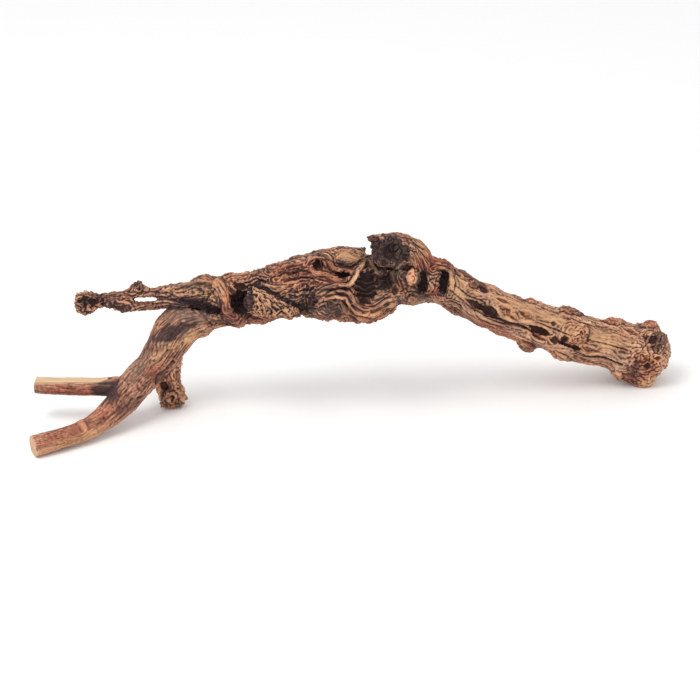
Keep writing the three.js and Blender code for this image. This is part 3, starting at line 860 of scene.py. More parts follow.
arm_share = on(bark, "trunk") * step(across, *ARM_START)
weather = np.array([WEATHERING[name] for name in NAMES])[bark["limb"]]
weather += arm_share[:, None] * (np.array(WEATHERING["arm"]) - weather)
for name, (parent, begin, until) in TAKES_AFTER.items():
    rows = np.flatnonzero(on(bark, name))
    own = step(bark["run"][rows], begin, until)[:, None]
    weather[rows] = own * weather[rows] + (1 - own) * np.array(WEATHERING[parent])
weather = spread_out(weather, mean, BLEND_ROUNDS)
wide, middling, fine, wander, grit, tone, streak = weather.T
drift = np.stack([noise(skin / 15.0, 60), noise(skin / 15.0, 61), 1.5 * noise(skin / 15.0, 62)], axis=1)
grain = np.stack([bark["girth"] * np.cos(swirl), bark["girth"] * np.sin(swirl), bark["run"]], axis=1)
grain += LIMB_SHIFT * bark["limb"][:, None]
grain += wander[:, None] * drift
gate = 0.7 + 0.5 * noise(skin / 22.0, 63)
rise = -wide * gate * furrow(grain, 8.0, 42.0, 70, 0.28)
rise -= middling * gate * furrow(grain, 4.2, 26.0, 71, 0.32)
rise -= fine * furrow(grain, 2.3, 16.0, 72, 0.4)
rise += grit * rough(skin / 2.6, 73, 2)
ring_zone = 1 - step(rings, 1.0, 1.5)
ring_wave = wave(rings * ring_size + 2.0 * noise(skin / 5.0, 74), RING_WIDTH)
rise = rise * (1 - 0.4 * ring_zone) + 0.5 * ring_zone * ring_wave * (wide > 0.3)
for a, u, length, width, height, size in RUGGED:
    rugged = hill((across - a) / length, (up - u) / width)
    lumps = rough(skin / size, 75, 2) - 1.2 * furrow(skin / size, 1.0, 1.0, 76, 0.25)
    rise += height * rugged * lumps
print("furrows down to", round(rise.min(), 2), "mm")

# %% [markdown]
# Some marks can't be left to chance, because the photograph shows just where they are: pits with
# steep walls, long black cracks, rope-like ridges under the big hollow, and the broken fibres of
# the side stub. Insects, rot and drying made them on the real branch. Here they are listed on the
# drawing sheet, and the far side gets a seeded crop of its own.

# %% Where the pits, cracks and ropes are
# Pits: across, up, half length, half width, depth, turn in degrees, darkness of the painted shade in the
# depth
FRONT_PITS = [
    [-88, 134.5, 4.8, 3.2, 3, 0, 0.2], [101, 120, 11, 2.6, 2.2, -29, 0.6],
    [112, 115, 9.5, 4.2, 3.4, -27, 0.7], [125.5, 114, 7.3, 4.8, 2.4, -40, 0.15],
    [142, 111.5, 8.2, 3.8, 1.8, -28, 0.15], [122.5, 123.5, 6, 2, 1.6, -22, 0.3],
    [107, 133, 5.4, 2.6, 2.2, -32, 0.5], [163, 105, 3, 2.4, 1.6, -10, 0.7],
    [152, 99.5, 9.5, 3.8, 2.8, -22, 0.4], [151, 94.5, 7, 2.7, 2.5, -25, 0.4],
    [164, 92, 3.8, 3.8, 1.8, 0, 0.1], [172, 92.5, 4, 3.4, 3, 0, 0.6],
    [190.5, 84, 7, 3.5, 2.2, -10, 0.3], [208, 106.5, 7.6, 2.7, 1.8, -15, 0.4],
    [238, 71, 3.4, 2.6, 3, 0, 0.5], [246.5, 77, 3, 2.4, 2.4, 0, 0.5],
    [243, 92, 5, 3.6, 2.4, 30, 0.6], [225, 99, 6, 2.2, 1.5, -20, 0.2],
    [-212, 125, 4, 2.4, 2.6, 20, 0.7], [-206, 122.5, 4.5, 2.2, 2.4, -15, 0.7],
    [-171, 137, 3.4, 2.6, 2, 0, 0.5], [-186, 116.5, 5.4, 2.6, 2, -10, 0.7],
    [-149.5, 55, 4, 3.6, 3.4, -30, 0.8], [-137, 44, 3.4, 2.8, 2.4, 20, 0.6],
    [-131, 50, 2.8, 3, 2, 0, 0.5], [-4, 119, 2.4, 5.4, 2.2, 25, 0.5],
    [36.5, 131, 2.8, 5, 2, 0, 0.5], [50, 124.5, 2, 2, 1.2, 0, 0.3],
    [-48, 136, 4, 1.8, 1.8, 20, 0.6], [-10, 134.8, 2.2, 2, 1.4, 0, 0.5],
]
# Cracks: half width, depth, then places across and up
FRONT_CRACKS = [
    [1.0, 2.4, [99, 118], [104, 114.5], [115, 110.5], [131, 105], [144, 100], [150, 96.5]],
    [1.3, 2.4, [168, 90.5], [175, 87.5], [183, 84.5]],
    [0.8, 1.6, [198, 78.5], [206, 76.5], [218, 71.5]], [0.7, 1.2, [190, 92], [204, 89], [222, 84]],
    [0.7, 1.1, [150, 106], [168, 99], [177, 95]], [0.7, 1.0, [84, 136], [96, 127], [108, 122]],
    [0.7, 1.0, [80, 132], [92, 122], [101, 116]],
    [1.6, 3.0, [-141, 74], [-147, 67], [-153, 63], [-154, 57]],
    [1.1, 1.8, [-31, 119], [-22, 127], [-12, 132.5], [-2, 133]],
    [0.8, 1.3, [-52, 139], [-44, 141.5], [-34, 142], [-22, 140], [-14, 138]],
    [0.9, 1.4, [-20, 157], [-8, 153], [2, 151.5], [8, 156]],
    [0.9, 1.4, [-46, 146], [-38, 148], [-32, 146]],
    [1.4, 2.6, [-152, 137.5], [-140, 139.5], [-128, 141], [-118, 146]],
]
# Ropes: half width, height, then places across and up
FRONT_ROPES = [
    [3.4, 0.9, [-119, 143], [-110, 140], [-102.5, 132], [-99.5, 124], [-98.5, 116.5], [-93, 111.5]],
    [1.6, 1.5, [-27, 128.5], [-14, 135], [-1, 136], [4, 142], [8, 149.5], [15, 156], [20, 149.5],
     [24, 144.5], [30, 145.5], [34, 151]],
    [1.6, 1.3, [-27, 126.5], [-12, 131], [-1, 129.5], [4, 121], [11, 116], [21, 117.5],
     [30, 122.5], [39, 126.5]],
    [1.6, 1.3, [-30, 122], [-14, 126], [-4, 125], [1, 118], [8, 112.5], [20, 113], [30, 118.5], [40, 123]],
    [1.5, 1.2, [3, 110.5], [13, 108], [22, 112.3], [31, 117]],
    [1.4, 1.2, [-16, 121], [-8, 122.5], [-3, 115], [4, 108]],
    [1.6, 1.4, [-36, 152], [-33, 157], [-25, 160], [-17, 157], [-14, 150], [-8, 148], [2, 147], [7, 149.5]],
    [1.4, 1.2, [-31, 150], [-28, 145.5], [-20, 145], [-14, 142], [-4, 140]],
    [1.3, 0.5, [-64, 148.5], [-50, 153], [-36, 156]],
    [1.3, 0.6, [-60, 140], [-52, 143], [-42, 143], [-33, 146]],
    [1.7, 1.6, [44, 153.5], [36, 150], [33.5, 141], [37, 134]],
    [1.4, 1.1, [66, 149], [72, 150], [80, 146], [82, 138], [80, 128]],
    [1.3, 0.9, [98, 123], [104, 112], [114, 106.5], [128, 102]],
    [1.3, 0.9, [116, 119], [121, 110], [130, 107], [138, 105]],
    [1.3, 0.9, [132, 112], [136, 107], [146, 105], [160, 99]],
]
BACK_PITS = 46
BACK_PIT_LIMBS = ["trunk", "trunk", "trunk", "lower_limb", "upper_twig", "short_stub"]
print(len(FRONT_PITS) + BACK_PITS, "pits,", len(FRONT_CRACKS), "cracks,", len(FRONT_ROPES), "ropes")

# %% [markdown]
# The wood beside a rope follows it in fainter lines, so that comes first. Then the pits and cracks
# are dug, and last the ropes are laid over them, each with strands of its own. Every mark also
# leaves a tint for the colours later: painted shade in the depth, warm on the walls, light on the
# rims.

# %% Lay the ropes, dig the pits, open the cracks
# How far round a mark its rows are looked for
MARGIN = 14.0
# How round a pit's outline is: 2 would be an oval, 1 a diamond
LENS_POWER = 1.3
# Distance between the strands of a rope
STRAND = 2.6
# Wood this near a rope takes over its grain
FOLLOWS_ROPE = 2.5
# Over this length a rope sinks into the wood at either end
ROPE_END = 8.0
# Added to a rope's grain for each rope before it, so that no two show the same pattern
ROPE_SHIFT = 9.0
tints = {kind: np.zeros(len(skin)) for kind in ("dark_and_shade", "warm", "light", "grey", "pale")}


def rows_near(places, margin=MARGIN):
    """The rows of corners that face the eye and are seen near some places on the sheet"""
    spots = np.array(places)
    low, high = spots.min(axis=0) - margin, spots.max(axis=0) + margin
    inside = (across > low[0]) & (across < high[0]) & (up > low[1]) & (up < high[1])
    return np.flatnonzero(sees_eye & inside)


def tint(kind, rows, amount):
    """Strengthen one tint where it is weaker than the amount"""
    tints[kind][rows] = np.maximum(tints[kind][rows], amount)


def near_feature(a, u, turn, margin=MARGIN):
    """The rows near one place, and how far they lie from it along its own turned axes"""
    rows = rows_near([[a, u]], margin)
    x, y = sheet_offset(across[rows], up[rows], a, u, turn)
    return rows, x, y


def lens_reach(x, y):
    """How far out a place lies in a lens with pointed ends, 1 at its outline"""
    return (np.abs(x) ** LENS_POWER + np.abs(y) ** LENS_POWER) ** (1 / LENS_POWER)


def dig(rows, reach, depth, darkness):
    """A pit with steep walls, a rough floor and a low rim"""
    reach = reach * (1 + 0.12 * noise(skin[rows] / 3.0, 80))
    inside = 1 - step(reach, 0.55, 1.05)
    floor = 1 + 0.35 * noise(skin[rows] / 1.6, 81)
    rise[rows] = rise[rows] * (1 - 0.8 * inside) - depth * inside * floor
    rise[rows] += 0.3 * hill((reach - 1.25) / 0.22)
    # Painted shade: the pit's depth is painted towards near black
    tint("dark_and_shade", rows, darkness * (1 - step(reach, 0.5, 1.0)))
    tint("warm", rows, 1 - step(reach, 0.8, 1.2))
    tint("light", rows, 0.7 * hill((reach - 1.25) / 0.2))


ropes = []
# How far each corner lies beyond the side of a rope, at most 30, and the grain that follows it
beside_rope = np.full(len(skin), 30.0)
rope_grain = np.zeros((len(skin), 3))
for number, (half_width, height, *path) in enumerate(FRONT_ROPES):
    rows = rows_near(path)
    off, along = path_place(flowing(path), across[rows], up[rows])
    off += 0.6 * noise(skin[rows] / 5.0, 83)
    ends_fade = step(along, 0, ROPE_END) * step(along.max() - along, 0, ROPE_END)
    ropes.append((rows, off, half_width, height, ends_fade))
    closer = off - half_width < beside_rope[rows]
    beside_rope[rows[closer]] = (off - half_width)[closer]
    rope_grain[rows[closer]] = np.stack([off, ROPE_SHIFT * number + 0 * off, along], axis=1)[closer]
follows = (beside_rope < FOLLOWS_ROPE) & on(bark, "trunk")
grain[follows] = rope_grain[follows]
echo = (1 - step(beside_rope, 3, 9)) * on(bark, "trunk") * (1 - 0.6 * arm_share)
lines = wave(beside_rope + 1.4 * noise(skin / 6.0, 85), STRAND)
rise = rise * (1 - 0.5 * echo) + 0.5 * echo * lines

for a, u, length, width, depth, turn, darkness in FRONT_PITS:
    rows, x, y = near_feature(a, u, turn)
    dig(rows, lens_reach(x / length, y / width), depth, darkness)
for half_width, depth, *path in FRONT_CRACKS:
    rows = rows_near(path)
    gap = path_distance(flowing(path), across[rows], up[rows]) + 0.5 * noise(skin[rows] / 2.5, 82)
    valley = 1 - step(gap, 0, 1.5 * half_width)
    rise[rows] -= depth * valley
    # Painted shade: the crack's floor is painted towards near black
    tint("dark_and_shade", rows, valley)
for rows, off, half_width, height, ends_fade in ropes:
    breadth = half_width * (1 + 0.35 * noise(skin[rows] / 9.0, 84))
    body = hill(off / breadth) * ends_fade
    strands = wave(off + 0.6 * noise(skin[rows] / 3.0, 86), STRAND)
    lumps = 0.6 * rough(skin[rows] / 3.2, 105, 2) - 0.4 * furrow(grain[rows], 1.5, 13.0, 107, 0.4)
    covers = min(0.6, 0.25 * half_width)
    rise[rows] = rise[rows] * (1 - covers * body) + body * (height + 0.35 * strands + lumps)
    rise[rows] -= 0.5 * height * ends_fade * hill((off / breadth - 1.7) / 0.5)
    tint("light", rows, 0.3 * body)

for limb, run, angle in scattered(BACK_PITS, BACK_PIT_LIMBS, -175, -5):
    length, width, depth = dice.uniform(2.5, 8), dice.uniform(1.6, 3.4), dice.uniform(1.2, 3.2)
    rows = np.flatnonzero((bark["limb"] == limb) & (np.abs(bark["run"] - run) < 20) & ~sees_eye)
    x = bark["run"][rows] - run
    y = turned(bark["angle"][rows], angle) * bark["girth"][rows]
    dig(rows, lens_reach(x / length, y / width), depth, dice.uniform(0.1, 0.9))
print("marks down to", round(rise.min(), 2), "mm")

# %% [markdown]
# The broken side stub fans out in torn fibres from its upper left corner, with a ragged honeycomb
# of fibre ends along its lower edge. The broken face of the crown is charred-looking and cracked in
# all directions, and arcs cross the diamond-shaped hollow. Each gets a pattern of its own, laid
# over the place where it is. Some places are worn smooth, and a few knots stand out with curling
# grain.

# %% Torn fibres and the broken crown
# The crown's face and the diamond hollow: across, up, half length, half width, turn
CROWN_FACE = [31, 163, 20, 13.5, -12]
DIAMOND = [14, 135.5, 12.5, 16, -12]
# The arcs in the hollow go round this place
DIAMOND_TOP = (12.0, 152.0)
ARC_WIDTH = 4.6
CURL_WIDTH = 2.3
# Smooth places, where the furrows fade: across, up, half length, half width, turn, strength
SMOOTH = [
    [1, 160, 15, 6.5, 8, 0.8], [84, 138, 9, 12, -20, 0.5], [140, 117, 30, 5, -20, 0.6],
    [205, 93, 26, 8, -14, 0.5], [-108, 142, 10, 5, -30, 0.6], [-52, 128, 10, 4, -30, 0.2],
]
# Knots that stand out: across, up, half length, half width, turn, height, darkness
KNOBS = [
    [50, 142, 5.2, 6.0, 0, 3.4, -0.35], [49.5, 124.5, 3.2, 2.8, 0, 1.0, 0.4],
    [184.5, 97.5, 6.8, 7.4, -20, 1.4, 0.95], [99.5, 136.8, 3.6, 2.6, -30, 0.9, 0.6],
    [-4, 109, 6, 2.6, 0, 1.2, 0.6], [141, 85.5, 7.5, 3.4, -24, 1.6, 0.9],
    [168, 78, 8, 2.4, -22, 1.1, 0.2], [213, 63, 5, 3.6, -10, 1.5, 0.3],
    [145, 124.5, 5, 2.0, -22, 1.0, 0.5], [178, 116, 10, 2.6, -12, 1.2, 0.9],
    [211, 108, 8, 3.0, -10, 1.2, 0.5], [90.5, 145, 5.5, 2.6, -32, 1.0, 1.0],
    [240, 105.5, 7, 3, 0, 0.6, 0.4],
]

for a, u, length, width, turn, strength in SMOOTH:
    rows, x, y = near_feature(a, u, turn, 1.5 * length)
    rise[rows] *= 1 - strength * (1 - step(np.hypot(x / length, y / width), 0.6, 1.2))
for a, u, length, width, turn, height, darkness in KNOBS:
    rows, x, y = near_feature(a, u, turn)
    reach = np.hypot(x / length, y / width) + 0.3 * noise(skin[rows] / 3.5, 88)
    dome = np.sqrt(np.clip(1 - np.abs(reach) ** 2.5, 0, 1))
    curls = wave(reach * width + 1.5 * noise(skin[rows] / 4.0, 87), CURL_WIDTH)
    rise[rows] = rise[rows] * (1 - 0.6 * dome) + dome * (height + 0.45 * curls)
    rise[rows] -= 0.6 * hill((reach - 1.25) / 0.2)
    tint("warm", rows, 1 - step(reach, 0.8, 1.1))
    mottled = step(noise(skin[rows] / 1.9, 89) - 0.8 * curls, -0.1, 0.7)
    if darkness > 0:
        tint("dark_and_shade", rows, darkness * mottled * (1 - step(reach, 0.8, 1.1)))
    else:
        tone[rows] -= darkness * dome * (1.3 - mottled)

rows = rows_near(FAN_CORNERS, 6)
inset = outline_depth(FAN_CORNERS, across[rows], up[rows]) + 1.2 * noise(skin[rows] / 4.0, 39)
fan = step(inset, -0.8, 0.8)
x, y = across[rows] - FAN_CORNERS[0][0], up[rows] - FAN_CORNERS[0][1]
spread = np.hypot(x, y)
fibre_angle = np.arctan2(y, x)
fibres = np.stack([fibre_angle * 9 + 0.4 * noise(skin[rows] / 4, 90), spread / 14, 0 * spread], axis=1)
torn = 1 - step(np.abs(noise(fibres, 91)), 0, 0.4)
fan_share = np.zeros(len(skin))
fan_share[rows] = fan
ragged = np.clip(1 - step(inset, 3, 8) * step(across[rows], -78, -70) * step(spread, 4, 12), 0, 1)
cells = fan * ragged * step(noise(skin[rows] / 2.3, 92), 0.02, 0.4)
rise[rows] = rise[rows] * (1 - fan) - 1.3 * fan * torn * step(spread, 3, 12)
rise[rows] -= 2.2 * cells + 0.5 * hill(inset + 1.6)
# Painted shade in the fibre-end cells, and a painted shadow along the fan's outline
tint("dark_and_shade", rows, np.maximum(0.9 * cells, 0.4 * hill(inset + 1.8)))
tint("light", rows, fan * (1 - 0.8 * torn) * (1 - cells))

a, u, length, width, turn = CROWN_FACE
rows, x, y = near_feature(a, u, turn, 22)
reach = np.hypot(x / length, y / width) + 0.4 * rough(skin[rows] / 7, 93, 2)
face = 1 - step(reach, 0.85, 1.1)
face *= on(bark, "crown_stub", "splinter", "trunk")[rows]
chunks = 1.7 * (1 - step(np.abs(noise(skin[rows] / 4.5, 94)), 0, 0.3))
chunks += 0.7 * (1 - step(np.abs(noise(skin[rows] / 2.2, 95)), 0, 0.35))
rise[rows] = rise[rows] * (1 - face) - face * (chunks + 0.8 * noise(skin[rows] / 6, 96))
tint("dark_and_shade", rows, face)

a, u, length, width, turn = DIAMOND
rows, x, y = near_feature(a, u, turn, 20)
reach = lens_reach(x / length, y / width)
from_top = np.hypot(across[rows] - DIAMOND_TOP[0], up[rows] - DIAMOND_TOP[1])
arcs = wave(from_top + 2.5 * noise(skin[rows] / 7, 97), ARC_WIDTH)
inner = 1 - step(reach, 0.8, 1.0)
rise[rows] = rise[rows] * (1 - 0.7 * inner) + 0.7 * inner * arcs
# Painted shade inside the diamond hollow, a little lighter on its arcs
tint("dark_and_shade", rows, (0.85 - 0.15 * arcs) * (1 - step(reach, 0.75, 1.0)))

skin = skin + rise[:, None] * skin_normals
skin = relaxed(skin, mean, 1)
print("deepest mark", round(-rise.min(), 1), "mm")

# %% [markdown]
# The two prongs were cut with a saw, and the upper one is also split lengthwise. Saw cuts are the
# only flat places on the branch, so the corners beyond each cut are moved back onto its plane. The
# feet are pressed onto the table in the same way. Sawn ends are pale, with growth rings, and the
# split face is a pale strip that starts at a slant. A boolean would cut as flat, but the ends would
# have to be closed and shaded again.

# %% Saw cuts, the split and the feet
# The split face looks down and out at once. It is laid through two places beside the prong's
# middle: one at a share of its length and one at its end
SPLIT_UP, SPLIT_OUT = 0.8, 0.6
SPLIT_FROM_SHARE, SPLIT_START_OFFSET, SPLIT_END_OFFSET = 0.25, 6.6, 4.3
# Between these shares of the prong the split face comes up out of the bark, from this depth
SPLIT_FADE = (0.12, 0.4)
SPLIT_SINKS = 3.0
SPLIT_GRAIN = np.array([14.0, 5.0, 5.0])
# A saw cut moves only corners that lie this near the end
CUT_REACH = 6
# Width of a growth ring on a sawn face
RING_STEP = 1.7


def press(rows, point, normal):
    """Move corners that stand beyond a plane back onto it, and say which ones they are"""
    height = (skin[rows] - point) @ normal
    beyond = rows[height > 0]
    skin[beyond] -= height[height > 0][:, None] * normal
    return beyond


cuts = []
for name in ("lower_prong", "upper_prong"):
    rows = np.flatnonzero(on(bark, name) & (bark["end"] < CUT_REACH))
    cuts.append((name, press(rows, limbs[name]["middle"][-1], limbs[name]["along"][-1])))
ends = sections(STATIONS["upper_prong"], np.array([SPLIT_FROM_SHARE, 1.0]))
slant = -SPLIT_UP * ends["upwards"][1] + SPLIT_OUT * ends["towards"][1]
split_start = ends["middle"][0] + SPLIT_START_OFFSET * slant
split_along = unit(ends["middle"][1] + SPLIT_END_OFFSET * slant - split_start)
split_normal = unit(slant - (slant @ split_along) * split_along)
rows = np.flatnonzero(on(bark, "upper_prong") & (bark["share"] > SPLIT_FADE[0]))
sinks = SPLIT_SINKS * (1 - step(bark["share"][rows], *SPLIT_FADE))
split_wave = 0.35 * noise(skin[rows] / SPLIT_GRAIN, 99) - sinks
skin[rows] += split_wave[:, None] * split_normal
pressed = press(rows, split_start, split_normal)
skin[rows] -= split_wave[:, None] * split_normal
cuts.append(("split", pressed))
everywhere = np.arange(len(skin))
press(everywhere, np.zeros(3), np.array([0.0, 0.0, -1.0]))
for name, rows in cuts:
    if name == "split":
        strip = (skin[rows] - split_start) @ np.cross(split_normal, split_along)
        edge = 14 * step(bark["share"][rows], 0.1, 0.6) - 6
        pale = 1 - 0.6 * step(strip, 2.0, 4.0)
        pale *= 1 - step(strip - edge + noise(skin[rows] / 3.0, 106), 0, 1.5)
    else:
        reach = np.linalg.norm(skin[rows] - limbs[name]["middle"][-1], axis=1)
        reach += 0.3 * noise(skin[rows] / 4.0, 108)
        rings_now = 0.5 + 0.5 * wave(reach, RING_STEP)
        pale = 1 - (0.3 * rings_now + 0.5 * step(reach / bark["girth"][rows], 0.8, 1.0))
    tint("pale", rows, pale)
    print(name, "has", len(rows), "corners on its flat")

# %% [markdown]
# Grooves and hollows get painted shade: the tone is made darker where they lie deep, and a little
# lighter on ridges. How far a corner lies below the average of its surroundings says how deep it
# lies, once over a short reach for grooves, and once over a long reach for hollows. These go to
# the material as attributes, with the colour zones.
# Shade could also be baked into an image, but numbers on the corners need none and stay sharp at
# any size.

# %% Painted shade in grooves and hollows, and colour zones
# Painted shade in grooves and hollows: rounds of averaging, depth in millimetres that counts as deep, and
# strength
SHADING_REACH = [(3, 0.1, 0.12), (12, 0.4, 0.2), (60, 2.0, 0.13)]
# Streaks of this width and length break a zone's outline
ZONE_STREAK = np.array([2.2, 2.2, 14.0])
# Patches all over the far side: tint, seed, strength, and the share of it that the front gets
PATCHES = [("warm", 100, 0.8, 0.5), ("light", 101, 0.8, 0), ("grey", 102, 0.7, 0.5), ("dark_and_shade", 103, 0.5, 0)]
PATCH_SIZE = np.array([22.0, 12.0, 12.0])
# Zones of each tint: across, up, half length, half width, turn in degrees, strength
ZONES = {
    # Zones of the first tint: real darker patches of the wood, and painted shade inside the hollows, cracks
    # and grooves
    "dark_and_shade": [
        [-87, 121, 10, 10.5, 0, 1], [-121, 120, 22, 5.5, -13, 1], [-31, 121, 5, 13, -35, 1],
        [-25, 152, 4.5, 4.5, 0, 0.8], [-6, 144.5, 4, 3, 0, 1], [58, 138, 5.5, 11, 0, 1],
        [75, 139.5, 4, 11, -5, 1], [31, 139, 9, 11, 10, 0.8], [-206, 124, 11, 4, 0, 0.6],
        [-186, 116, 11, 5, -10, 0.9], [-171, 138, 6, 5, 0, 0.7], [-143, 98.5, 20, 7, 24, 1],
        [-146, 94, 9, 5, 10, 1], [-158, 86, 9, 6, 50, 0.5], [-194, 51, 12, 10, 20, 1],
        [-176, 40, 16, 6, 35, 0.6], [-152, 62, 6, 5, 0, 0.8], [-140, 46, 11, 8, 0, 0.4],
        [-147, 53, 8, 3, 50, 0.8], [-136, 40, 5, 4, 0, 0.8], [-149, 42, 3, 6, 20, 0.8],
        [-136, 60, 4, 8, 10, 0.5], [246, 91, 9, 8, 30, 0.8], [228, 68, 4, 10, 0, 0.6],
        [93, 145, 7, 3, -30, 0.8], [105, 135, 8, 4, -30, 0.7], [108, 117, 16, 5, -28, 0.5],
        [181, 115, 10, 3.5, -10, 0.6], [142, 84, 8, 5, -10, 0.6], [-18, 134, 10, 3, 20, 0.6],
        [-10, 117, 16, 5, 10, 0.4], [8, 154, 12, 3, 15, 0.5], [22, 152, 7, 6, 0, 0.8],
        [16, 174, 9, 4, -20, 0.9], [191, 97, 1.4, 7, -8, 1], [118, 106, 30, 5, -27, 0.25],
        [96, 112, 20, 8, -27, 0.3],
    ],
    "warm": [
        [-142, 50, 16, 16, 0, 0.8], [-108, 141, 15, 7, -20, 1], [-99, 122, 5, 14, 0, 1],
        [-46, 144, 18, 9, 20, 0.9], [-14, 142, 14, 5, 15, 0.8], [-30, 148, 30, 8, 10, 0.7],
        [10, 112, 30, 8, 0, 0.6], [66, 130, 7, 5, 0, 1], [72, 153, 11, 6, -30, 1],
        [184, 96, 10, 9, 0, 1], [185, 97, 8, 8, 0, 1], [236, 70, 11, 12, 0, 1],
        [222, 58, 14, 6, -20, 0.8], [-217, 50, 40, 5, 0, 1], [-215, 24, 44, 10, 25, 0.7],
        [-155, 66, 10, 8, -30, 0.8], [-60, 108, 60, 5, 0, 0.8], [120, 96, 40, 6, -25, 0.9],
        [20, 104, 26, 5, 0, 0.7], [60, 154, 10, 8, -30, 1], [50, 142, 6, 6, 0, 1],
    ],
    "light": [
        [-112, 138, 9, 6, -30, 0.9], [1, 160, 14, 6, 0, 1], [-104, 141, 11, 4, -30, 1],
        [-125, 129, 20, 4, -5, 0.9], [-58, 127, 12, 9, -30, 0.6], [84, 139, 8, 11, -20, 0.9],
        [96, 127, 16, 6, -30, 0.8], [150, 111, 54, 8, -17, 0.8], [205, 92, 26, 9, -12, 0.9],
        [150, 84, 40, 5, -20, 0.3], [-130, 92, 16, 6, 22, 1], [56, 163, 7, 9, -40, 0.8],
        [-23, 127, 24, 4, 10, 0.6], [14, 112, 20, 4, 5, 0.5], [-224, 10, 34, 4, 20, 0.7],
        [-156, 76, 8, 5, 40, 0.4], [242, 58, 12, 5, 20, 0.7],
    ],
    "grey": [
        [-130, 142, 15, 5, 20, 1], [-128, 111, 20, 7, 0, 0.9], [22, 136, 14, 16, 0, 0.6],
        [40, 148, 6, 8, 0, 1], [50, 124, 14, 5, 0, 0.8], [-170, 72, 14, 9, 40, 0.6],
        [-20, 112, 18, 8, 10, 0.7],
    ],
}


def below(rounds):
    """How far each corner lies below the average of its surroundings"""
    return dot(spread_out(skin, mean, rounds) - skin, final_normals)


final_normals = normals_of(skin, triangles)
# Painted shade: the tone is made darker in grooves and hollows, and a little lighter on ridges
for rounds, depth, strength in SHADING_REACH:
    tone = tone - strength * np.tanh(below(rounds) / depth)
for kind, zones in ZONES.items():
    for a, u, length, width, turn, strength in zones:
        rows, x, y = near_feature(a, u, turn, 1.5 * max(length, width))
        reach = np.hypot(x / length, y / width) + 0.25 * noise(skin[rows] / 5.0, 98)
        reach += 0.6 * noise(grain[rows] / ZONE_STREAK, 104)
        tint(kind, rows, strength * (1 - step(reach, 0.6, 1.3)) * (1 - fan_share[rows]))
far = 1 - step(toward_eye, -0.3, 0.1)
for kind, seed, amount, front_share in PATCHES:
    patches = step(rough(skin / PATCH_SIZE, seed, 2), 0.1, 0.7)
    tints[kind] = np.maximum(tints[kind], amount * patches * (far + (1 - far) * front_share))
print("tone runs from", np.round(np.percentile(tone, [5, 50, 95]), 2))

# %% [markdown]
# One skin is cut into named pieces, one for each limb, so that a piece can be found, repainted or
# left out. The cuts follow the forks. Neighbouring pieces share their edge and their shading, so no
# seam shows, and each piece is closed inside with a fan of triangles. Pieces modelled one by one
# would show a gap at each fork, where real grain runs through.

# %% Cut the skin into pieces
# The limbs of the skin that each piece shows
PIECES = {
    "collar": ["trunk", "fan"],
    "burl": [],
    "arm": [],
    "end_burl": [],
    "broken_crown": ["crown_stub", "splinter"],
    "twig": ["upper_twig"],
    "limb": ["lower_limb"],
    "foot_stub": ["short_stub"],
    "long_prong": ["lower_prong"],
    "split_prong": ["upper_prong"],
}
# The node of the frame that each piece stands for
STANDS_FOR = {
    "collar": "trunk",
    "burl": "trunk",
    "arm": "trunk",
    "end_burl": "trunk",
    "broken_crown": "crown_stub",
    "twig": "upper_twig",
    "limb": "lower_limb",
    "foot_stub": "short_stub",
    "long_prong": "lower_prong",
    "split_prong": "upper_prong",
}
# The trunk is long, so it is cut again: where its later parts begin, in millimetres across
TRUNK_PARTS = {"burl": -20, "arm": 80, "end_burl": 168}
piece_names = list(PIECES)
owner = np.zeros(len(skin), int)
for number, name in enumerate(piece_names):
    owner[on(bark, *PIECES[name])] = number
for name, begin in TRUNK_PARTS.items():
    owner[on(bark, "trunk") & (bark["middle"][:, 0] + ORIGIN[0] > begin)] = piece_names.index(name)
votes = spread_out(np.eye(len(piece_names))[owner], mean, BLEND_ROUNDS)
owner = votes.argmax(axis=1)
face_owner = owner[triangles[:, 0]]


def boundary_loops(faces):
    """The open edges of some triangles, as closed rows of corners"""
    edges = edges_of(faces)
    open_edges = edges[~np.isin(edge_keys(edges), edge_keys(edges[:, ::-1]))]
    following = {}
    for a, b in open_edges.tolist():
        following.setdefault(a, []).append(b)
    loops = []
    while following:
        start = next(iter(following))
        loop = [start]
        while True:
            here = loop[-1]
            after = following[here].pop()
            if not following[here]:
                del following[here]
            if after == start:
                break
            loop.append(after)
        loops.append(loop)
    return loops


def make_piece(name):
    """One piece of the skin, closed, with its attributes, on its body and standing for its node"""
    faces = triangles[face_owner == piece_names.index(name)]
    loops = boundary_loops(faces)
    used, packed = np.unique(faces, return_inverse=True)
    packed = packed.reshape(-1, 3)
    place_of = {int(row): k for k, row in enumerate(used)}
    points = skin[used]
    shade = final_normals[used]
    caps = []
    for loop in loops:
        centre = len(points)
        points = np.vstack([points, skin[loop].mean(axis=0)])
        shade = np.vstack([shade, unit(shade[[place_of[c] for c in loop]].mean(axis=0))])
        for a, b in zip(loop, loop[1:] + loop[:1]):
            caps.append([place_of[b], place_of[a], centre])
    spare = len(points) - len(used)
    faces = np.vstack([packed, np.array(caps, int).reshape(-1, 3)])
    mesh = make_mesh(name, METRES * points, faces.tolist())
    mesh.polygons.foreach_set("use_smooth", [True] * len(mesh.polygons))
    for kind, values in {"tone": tone, "streak": streak, **tints}.items():
        layer = mesh.attributes.new(kind, "FLOAT", "POINT")
        numbers = np.concatenate([values[used], np.zeros(spare)])
        layer.data.foreach_set("value", numbers.astype(np.float32))
    layer = mesh.attributes.new("grain", "FLOAT_VECTOR", "POINT")
    vectors = np.vstack([grain[used], np.zeros((spare, 3))])
    layer.data.foreach_set("vector", vectors.astype(np.float32).ravel())
    mesh.normals_split_custom_set_from_vertices(shade.tolist())
    obj = add_object(name, mesh)
    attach(obj, "root")
    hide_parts(STANDS_FOR[name])
    print(name, len(faces), "triangles,", len(loops), "open edges closed")
    return obj


pieces = {name: make_piece(name) for name in piece_names}

# %% [markdown]
# The colours go from sawn pale to near black. A material is a net of nodes, and a small helper adds
# a node and its links in one line, so that the recipe reads like a sum.

